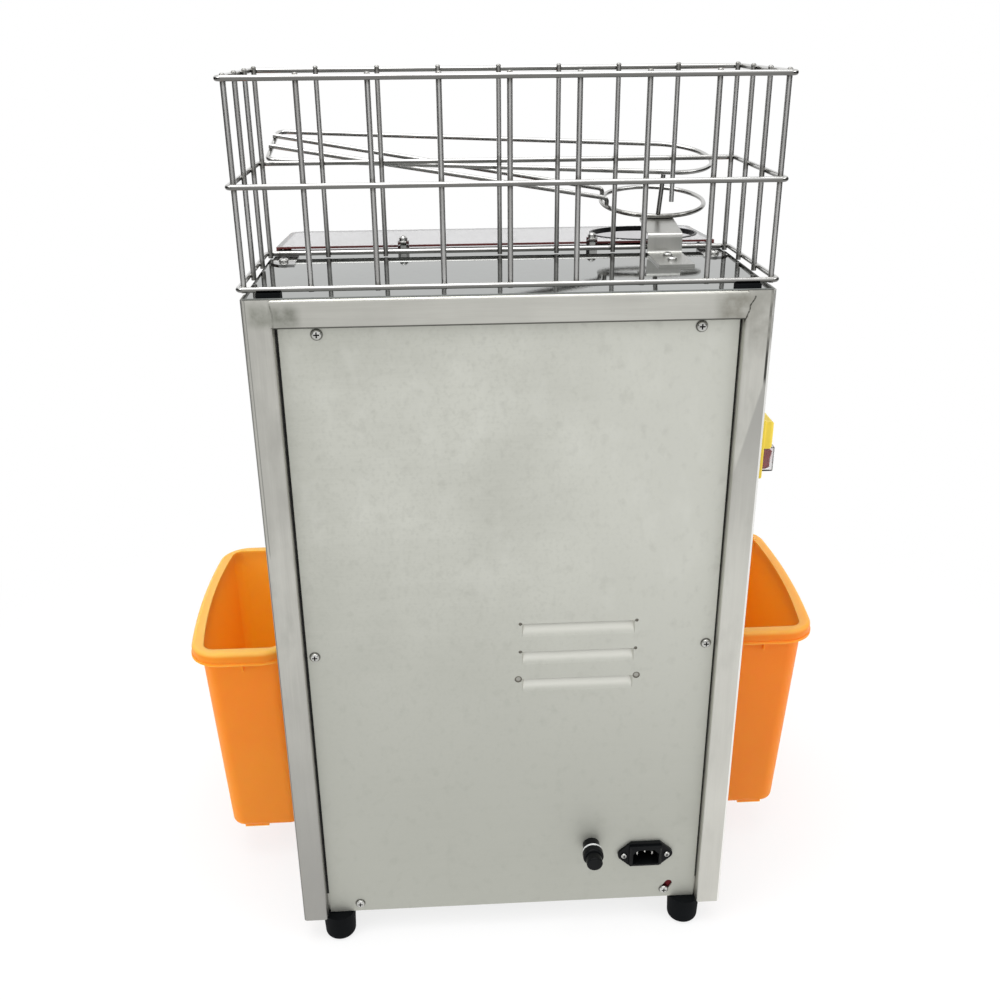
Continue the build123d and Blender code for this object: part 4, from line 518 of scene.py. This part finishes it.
def panel_finish():
    """Rear panel: speckled, scuffed, with painted light towards -x, painted shade towards the foot and a
    painted contact shadow round its screws.
    """
    steel = satin_steel("panel_steel", *PANEL_SHADES, (0.55, 0.70), (0.05, 1.0, 1.0), 0.14)
    steel.worn(PANEL_SPECKLE)
    # Painted light, brighter towards -x
    steel.tint(steel.span(steel.axis("X"), LIT_SHARE, 0.0, *LIT_X, smooth=True), PANEL_PAINTED_LIGHT)
    # Painted shade, darker towards the foot
    steel.tint(steel.span(steel.axis("Z"), PANEL_SHADOW_SHARE, 0.0, *PANEL_SHADOW_Z, smooth=True), PANEL_PAINTED_SHADE)
    steel.worn(PANEL_PALE, steel.above("Z", *PALE_Z))
    steel.worn(PANEL_SCUFFS)
    louvre_sheen_and_marks(steel)
    # Painted contact shadow round each screw
    for x, z in SCREW_PLACES:
        for side in (-1, 1):
            steel.tint(steel.disc(side * x, z, SCREW_SHADOW_R, SCREW_SHADOW_SOFT), SCREW_CONTACT_SHADOW)
    return steel


def polished_wire(name, shades, rough, shade_below=0.0, welds=()):
    """Bright drawn wire, duller in slow patches, with painted shade on its underside, and darker at the
    heights of its welds from burning and painted contact shade.
    """
    wire = Finish(name, Metallic=1.0)
    patches = wire.noise(*WIRE_PATCHES)
    drawn = wire.noise(*WIRE_DRAWN)
    dark, light = shades
    clean = tuple(light * tone for tone in WIRE_CLEAN)
    dull = tuple(dark * tone for tone in WIRE_DULL)
    wire.two_tone(patches, clean, dull)
    # Painted shade on the wire's underside
    if shade_below:
        normal = wire.add("ShaderNodeSeparateXYZ")
        wire.join(wire.normal(), normal.inputs["Vector"])
        underside = wire.span(normal.outputs["Z"], shade_below, 0.0, *UNDERSIDE_STOPS, smooth=True)
        wire.tint(underside, UNDERSIDE_PAINTED_SHADE)
    # Darker at weld heights: burnt welds and painted contact shade
    for height in welds:
        weld = wire.near("Z", height, BURNT_HALF, BURNT_SOFT)
        wire.tint(wire.both(weld, wire.span(drawn, *BURNT_SHARES)), BURNT_AND_SHADOW_SHADE)
    wire.feed(wire.span(patches, *rough), "Roughness")
    wire.bump(drawn, *WIRE_RELIEF)
    return wire


def moulded(name, light, dark, rough=(0.36, 0.48), gloss=0.5):
    """Moulded plastic or rubber with a fine skin and a slow change of shade."""
    plastic = Finish(name, Specular_IOR_Level=gloss)
    shade = plastic.noise(*PLASTIC_SHADE)
    plastic.two_tone(shade, light, dark)
    plastic.feed(plastic.span(shade, *rough), "Roughness")
    plastic.bump(plastic.noise(*PLASTIC_SKIN), *PLAIN_RELIEF)
    return plastic


def metal(name, light, dark, rough=(0.25, 0.4), scale=120.0):
    """Machined or cast metal with a mottled surface."""
    piece = Finish(name, Metallic=1.0)
    spots = piece.noise(scale, EVEN, 3.0)
    piece.two_tone(spots, light, dark)
    piece.feed(piece.span(spots, *rough), "Roughness")
    piece.bump(spots, *PLAIN_RELIEF)
    return piece


def clear_plastic(name, tint, clear):
    """Clear sheet with faint haze and rubbed spots."""
    sheet = Finish(name, Transmission_Weight=1.0, IOR=CLEAR_IOR)
    haze = sheet.noise(*CLEAR_HAZE)
    sheet.two_tone(haze, clear, tint, HAZE_STOPS)
    sheet.feed(sheet.span(haze, *CLEAR_ROUGH), "Roughness")
    return sheet


def orange_bin(node, green, rim_highlight):
    """Orange moulded bin whose thin wall lets a little light through, painted paler inside against its
    shade and with a painted highlight along the rim.
    """
    low, high = (Vector(corner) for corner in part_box(node))
    plastic = Finish(f"{node}_plastic", Subsurface_Weight=1.0, Subsurface_Scale=BIN_GLOW)
    plastic.shader.inputs["Subsurface Radius"].default_value = BIN_RADIUS
    plastic.shader.inputs["Specular IOR Level"].default_value = BIN_GLOSS
    shade = plastic.noise(*BIN_SHADE)
    plastic.two_tone(shade, (1.0, green + BIN_GREEN_STEP, 0.024), (0.98, green - BIN_GREEN_STEP, 0.018))
    outward = plastic.add("ShaderNodeVectorMath", operation="SUBTRACT")
    plastic.join(plastic.place, outward.inputs[0])
    outward.inputs[1].default_value = (low + high) / 2
    facing = plastic.add("ShaderNodeVectorMath", operation="DOT_PRODUCT")
    plastic.join(outward.outputs["Vector"], facing.inputs[0])
    plastic.join(plastic.normal(), facing.inputs[1])
    # Painted light inside the bin, paler against its shade
    plastic.tint(plastic.span(facing.outputs["Value"], 1.0, 0.0, *BIN_INSIDE), BIN_INSIDE_PAINTED_LIGHT)
    # Painted highlight along the rim
    plastic.tint(plastic.above("Z", high.z - RIM_HIGHLIGHT_DEPTH, high.z), rim_highlight)
    plastic.feed(plastic.span(shade, *BIN_ROUGH), "Roughness")
    plastic.bump(plastic.noise(*BIN_SKIN), *BIN_RELIEF)
    return plastic


def screw_finish(name, axis, floors):
    """Bright screw with painted shade on the floor of its cross recess; each floor is a recess floor's
    place along the axis.
    """
    screw = metal(name, (0.60, 0.60, 0.58), (0.42, 0.42, 0.40), (0.16, 0.30))
    # Painted shade on the floors of the cross recesses
    for floor in floors:
        screw.tint(screw.near(axis, floor, RECESS_HALF, RECESS_SOFT), RECESS_PAINTED_SHADE)
    return screw


def fuse_finish():
    """Black fuse holder with a bright ring at its rear end."""
    holder = moulded("fuse_body", *BLACK, BLACK_ROUGH, BLACK_GLOSS)
    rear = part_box("fuse_holder")[1][1]
    holder.tint(holder.above("Y", *(rear - depth for depth in FUSE_RING)), FUSE_RING_SHADE)
    return holder


def shaft_finish():
    """Turned steel shafts whose front ends carry black knobs."""
    shaft = metal("shaft_steel", (0.55, 0.55, 0.53), (0.42, 0.42, 0.40))
    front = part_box("upper_left_shaft")[0][1]
    knob = shaft.span(shaft.axis("Y"), 1.0, 0.0, *(front + length for length in KNOB_LONG))
    shaft.tint(knob, KNOB_SHADE)
    return shaft


def dress(finish, *nodes):
    """Gives CAD nodes a finish."""
    for name in nodes:
        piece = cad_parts[name]
        if not piece.material_slots:
            piece.data.materials.append(finish.material)
        for slot in piece.material_slots:
            slot.material = finish.material


def dress_cabinet():
    """Frame, panels and what is fastened to them."""
    dress(post_finish(), "frame_posts")
    dress(rail_finish(), "frame_rails")
    dress(panel_finish(), "rear_panel")
    side = satin_steel("side_steel", (0.56, 0.56, 0.53), (0.48, 0.48, 0.45))
    dress(side, "side_panels", "chamber_wall", "base_plate")
    mirror = satin_steel("mirror_sheet", (0.256, 0.27, 0.26), (0.223, 0.232, 0.223), (0.02, 0.05))
    dress(mirror, "top_plate")
    # Panel strips near black, a painted shadow in the gaps beside the rear panel
    dress(metal("strip_painted_shadow", (0.03, 0.03, 0.03), (0.015, 0.015, 0.015)), "panel_strips")
    dress(screw_finish("rear_screw", "Y", REAR_RECESSES), "rear_screws")
    dress(screw_finish("top_screw", "Z", TOP_RECESSES), "top_screws")
    dress(metal("acorn_steel", (0.50, 0.50, 0.49), (0.38, 0.38, 0.37), (0.05, 0.12)), "acorn_nuts")
    rubber = moulded("foot_rubber", (0.005, 0.006, 0.007), (0.003, 0.0035, 0.004), (0.6, 0.75), gloss=0.05)
    dress(rubber, "rubber_feet", "basket_pads")


def dress_fittings():
    """Inlet, fuse and switch, and the other black plastic."""
    plastic = moulded("black_plastic", *BLACK, BLACK_ROUGH, BLACK_GLOSS)
    dress(plastic, "inlet_socket", "fuse_cap", "feed_throat", "tap_lever", "tap_body")
    dress(metal("nickel_pin", (0.80, 0.79, 0.76), (0.66, 0.65, 0.62), (0.15, 0.28)), "inlet_pins")
    dress(fuse_finish(), "fuse_holder")
    dress(moulded("yellow_plastic", (0.83, 0.63, 0.055), (0.76, 0.56, 0.042)), "switch_plate")
    dress(moulded("dark_red_plastic", (0.40, 0.032, 0.036), (0.30, 0.024, 0.028)), "switch_rocker")
    dress(clear_plastic("clear_cap", (0.90, 0.90, 0.90), (0.97, 0.97, 0.97)), "switch_cover")


def dress_feeder():
    """Basket, bracket and feeder wires."""
    low, high = (corner[2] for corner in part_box("basket_rings"))
    guard_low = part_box("feeder_guard")[0][2]
    rod_welds = (low + WELD_INSET, MIDDLE_RING_Z, high - WELD_INSET)
    dress(polished_wire("rod_wire", (0.38, 0.48), (0.34, 0.26), welds=rod_welds), "basket_rods")
    dress(polished_wire("ring_wire", (0.50, 0.60), (0.16, 0.10), 0.95), "basket_rings")
    feeder = polished_wire("feeder_wire", (0.50, 0.60), (0.20, 0.12), 0.8, (guard_low,))
    dress(feeder, "feeder_ring", "feeder_rails", "feeder_guard")
    bracket = satin_steel("bracket_steel", (0.56, 0.56, 0.535), (0.45, 0.45, 0.43), (0.25, 0.36))
    dress(bracket, "feeder_bracket")
    dress(metal("tab_steel", (0.36, 0.36, 0.355), (0.28, 0.28, 0.275), (0.06, 0.14)), "basket_tabs")


def dress_works():
    """Drums, gears, motor, the juice path, the hood and the bins."""
    drums, shafts, gears = (
        [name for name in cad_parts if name.endswith(ending)] for ending in ("_drum", "_shaft", "_gear")
    )
    dress(moulded("drum_plastic", (0.62, 0.10, 0.012), (0.52, 0.075, 0.008)), *drums)
    dress(shaft_finish(), *shafts)
    dress(moulded("nylon", (0.80, 0.79, 0.74), (0.72, 0.71, 0.66)), *gears)
    inner = metal("inner_steel", (0.42, 0.42, 0.41), (0.32, 0.32, 0.31))
    dress(inner, "gear_plate", "plate_posts", "drive_pinion")
    dress(metal("bronze", (0.50, 0.32, 0.14), (0.38, 0.23, 0.09)), "bearings")
    dress(metal("cast_aluminium", (0.55, 0.55, 0.55), (0.42, 0.42, 0.42), (0.45, 0.6), 300.0), "gearbox")
    dress(moulded("motor_paint", (0.045, 0.055, 0.065), (0.028, 0.034, 0.042)), "motor")
    steel = satin_steel("chamber_steel", (0.60, 0.60, 0.58), (0.50, 0.50, 0.48))
    dress(steel, "knife", "peel_ejectors", "feed_trough", "bin_hangers")
    dress(steel, "juice_tank", "tank_rails", "strainer")
    dress(clear_plastic("clear_hood", (0.64, 0.635, 0.645), (0.71, 0.705, 0.715)), "hood")
    dress(moulded("red_rubber", (0.12, 0.014, 0.012), (0.07, 0.009, 0.008)), "hood_seal")
    for node, (green, rim_highlight) in BINS.items():
        dress(orange_bin(node, green, rim_highlight), node)


# Studio
def bare_tree(owner):
    """Empty node tree of a new material or world."""
    owner.use_nodes = True
    owner.node_tree.nodes.clear()
    return owner.node_tree


def maths(tree, operation, first, second):
    """Arithmetic on two outputs in a node tree."""
    node = tree.nodes.new("ShaderNodeMath")
    node.operation = operation
    tree.links.new(first, node.inputs[0])
    tree.links.new(second, node.inputs[1])
    return node.outputs["Value"]


def seen_rays(tree):
    """1 for camera, glossy and transmitted rays."""
    path = tree.nodes.new("ShaderNodeLightPath").outputs
    shown = maths(tree, "MAXIMUM", path["Is Camera Ray"], path["Is Glossy Ray"])
    return maths(tree, "MAXIMUM", shown, path["Is Transmission Ray"])


def mix_out(tree, factor, first, second, output_kind):
    """Two shaders mixed by a factor, as the tree's surface."""
    mix = tree.nodes.new("ShaderNodeMixShader")
    output = tree.nodes.new(output_kind)
    tree.links.new(factor, mix.inputs["Fac"])
    tree.links.new(first, mix.inputs[1])
    tree.links.new(second, mix.inputs[2])
    tree.links.new(mix.outputs["Shader"], output.inputs["Surface"])


def studio_world():
    """Even light from all round, seen as plain white."""
    world = bpy.data.worlds.new("studio")
    bpy.context.scene.world = world
    tree = bare_tree(world)
    shown = tree.nodes.new("ShaderNodeBackground")
    shown.inputs["Color"].default_value = WHITE
    light = tree.nodes.new("ShaderNodeBackground")
    light.inputs["Color"].default_value = WHITE
    light.inputs["Strength"].default_value = WORLD_LIGHT
    sides = (light.outputs["Background"], shown.outputs["Background"])
    mix_out(tree, seen_rays(tree), *sides, "ShaderNodeOutputWorld")


def floor_paint():
    """White paint that keeps a soft shadow near the machine and is seen as plain white further off."""
    material = bpy.data.materials.new("floor_paint")
    tree = bare_tree(material)
    paint = tree.nodes.new("ShaderNodeBsdfDiffuse")
    paint.inputs["Color"].default_value = FLOOR_SHADE
    white = tree.nodes.new("ShaderNodeEmission")
    place = tree.nodes.new("ShaderNodeTexCoord")
    reach = tree.nodes.new("ShaderNodeVectorMath")
    reach.operation = "LENGTH"
    fade = tree.nodes.new("ShaderNodeMapRange")
    fade.interpolation_type = "SMOOTHSTEP"
    fade.inputs["From Min"].default_value = SHADOW_NEAR
    fade.inputs["From Max"].default_value = SHADOW_FAR
    fade.inputs["To Min"].default_value = 1.0 - SHADOW_SHARE
    fade.inputs["To Max"].default_value = 1.0
    tree.links.new(place.outputs["Object"], reach.inputs[0])
    tree.links.new(reach.outputs["Value"], fade.inputs["Value"])
    share = maths(tree, "MULTIPLY", seen_rays(tree), fade.outputs["Result"])
    mix_out(tree, share, paint.outputs["BSDF"], white.outputs["Emission"], "ShaderNodeOutputMaterial")
    return material


def flat_piece(name, corners, material):
    """Flat piece of the stage."""
    mesh = bpy.data.meshes.new(name)
    mesh.from_pydata(corners, [], [(0, 1, 2, 3)])
    mesh.materials.append(material)
    piece = bpy.data.objects.new(name, mesh)
    bpy.context.scene.collection.objects.link(piece)
    return piece


def studio_floor():
    """Large pale floor."""
    size = FLOOR_SIZE
    corners = [(-size, -size, 0), (size, -size, 0), (size, size, 0), (-size, size, 0)]
    floor = flat_piece("floor", corners, floor_paint())


def dark_cards():
    """Dark cards at both sides, so that round wire shows dark edges."""
    material = bpy.data.materials.new("card_paint")
    material.use_nodes = True
    material.node_tree.nodes["Principled BSDF"].inputs["Base Color"].default_value = CARD_SHADE
    low, high = CARD_Z
    near, far = CARD_Y
    for name, x in (("left_card", CARD_X), ("right_card", -CARD_X)):
        corners = [(x, near, low), (x, far, low), (x, far, high), (x, near, high)]
        card = flat_piece(name, corners, material)
        card.visible_camera = False
        card.visible_diffuse = False
        card.visible_transmission = False
        card.visible_shadow = False


def lamp(name, place, size, power):
    """Soft square lamp aimed at the machine."""
    light = bpy.data.lights.new(name, "AREA")
    light.shape = "SQUARE"
    light.size = size
    light.energy = power
    holder = bpy.data.objects.new(name, light)
    holder.location = place
    aim = Vector(LAMP_TARGET) - Vector(place)
    holder.rotation_euler = aim.to_track_quat("-Z", "Y").to_euler()
    bpy.context.scene.collection.objects.link(holder)


def studio_lamps():
    """Large lamps above and to each side."""
    lamp("top_lamp", TOP_LAMP_AT, TOP_LAMP_SIZE, TOP_POWER)
    x, y, z = SIDE_LAMP_AT
    lamp("left_lamp", (x, y, z), SIDE_LAMP_SIZE, SIDE_POWER)
    lamp("right_lamp", (-x, y, z), SIDE_LAMP_SIZE, SIDE_POWER)


def camera():
    """Camera at the photo's viewpoint."""
    forward = Vector(CAMERA_FORWARD).normalized()
    right = Vector(CAMERA_RIGHT).normalized()
    up = right.cross(forward)
    turned_right = cos(CAMERA_ROLL) * right + sin(CAMERA_ROLL) * up
    turned_up = cos(CAMERA_ROLL) * up - sin(CAMERA_ROLL) * right
    data = bpy.data.cameras.new("camera")
    data.sensor_fit = "HORIZONTAL"
    data.sensor_width = SENSOR_W
    data.lens = CAMERA_LENS
    data.clip_start = CLIP_START
    holder = bpy.data.objects.new("camera", data)
    axes = Matrix((turned_right, turned_up, -forward)).transposed().to_4x4()
    place = Vector(CAMERA_FROM_REAR) + Vector((0.0, REAR_Y, FOOT_TOP))
    holder.matrix_world = Matrix.Translation(place) @ axes
    bpy.context.scene.collection.objects.link(holder)
    bpy.context.scene.camera = holder


bpy.context.scene.view_settings.view_transform = "Standard"
dress_cabinet()
dress_fittings()
dress_feeder()
dress_works()
studio_world()
studio_floor()
dark_cards()
studio_lamps()
camera()
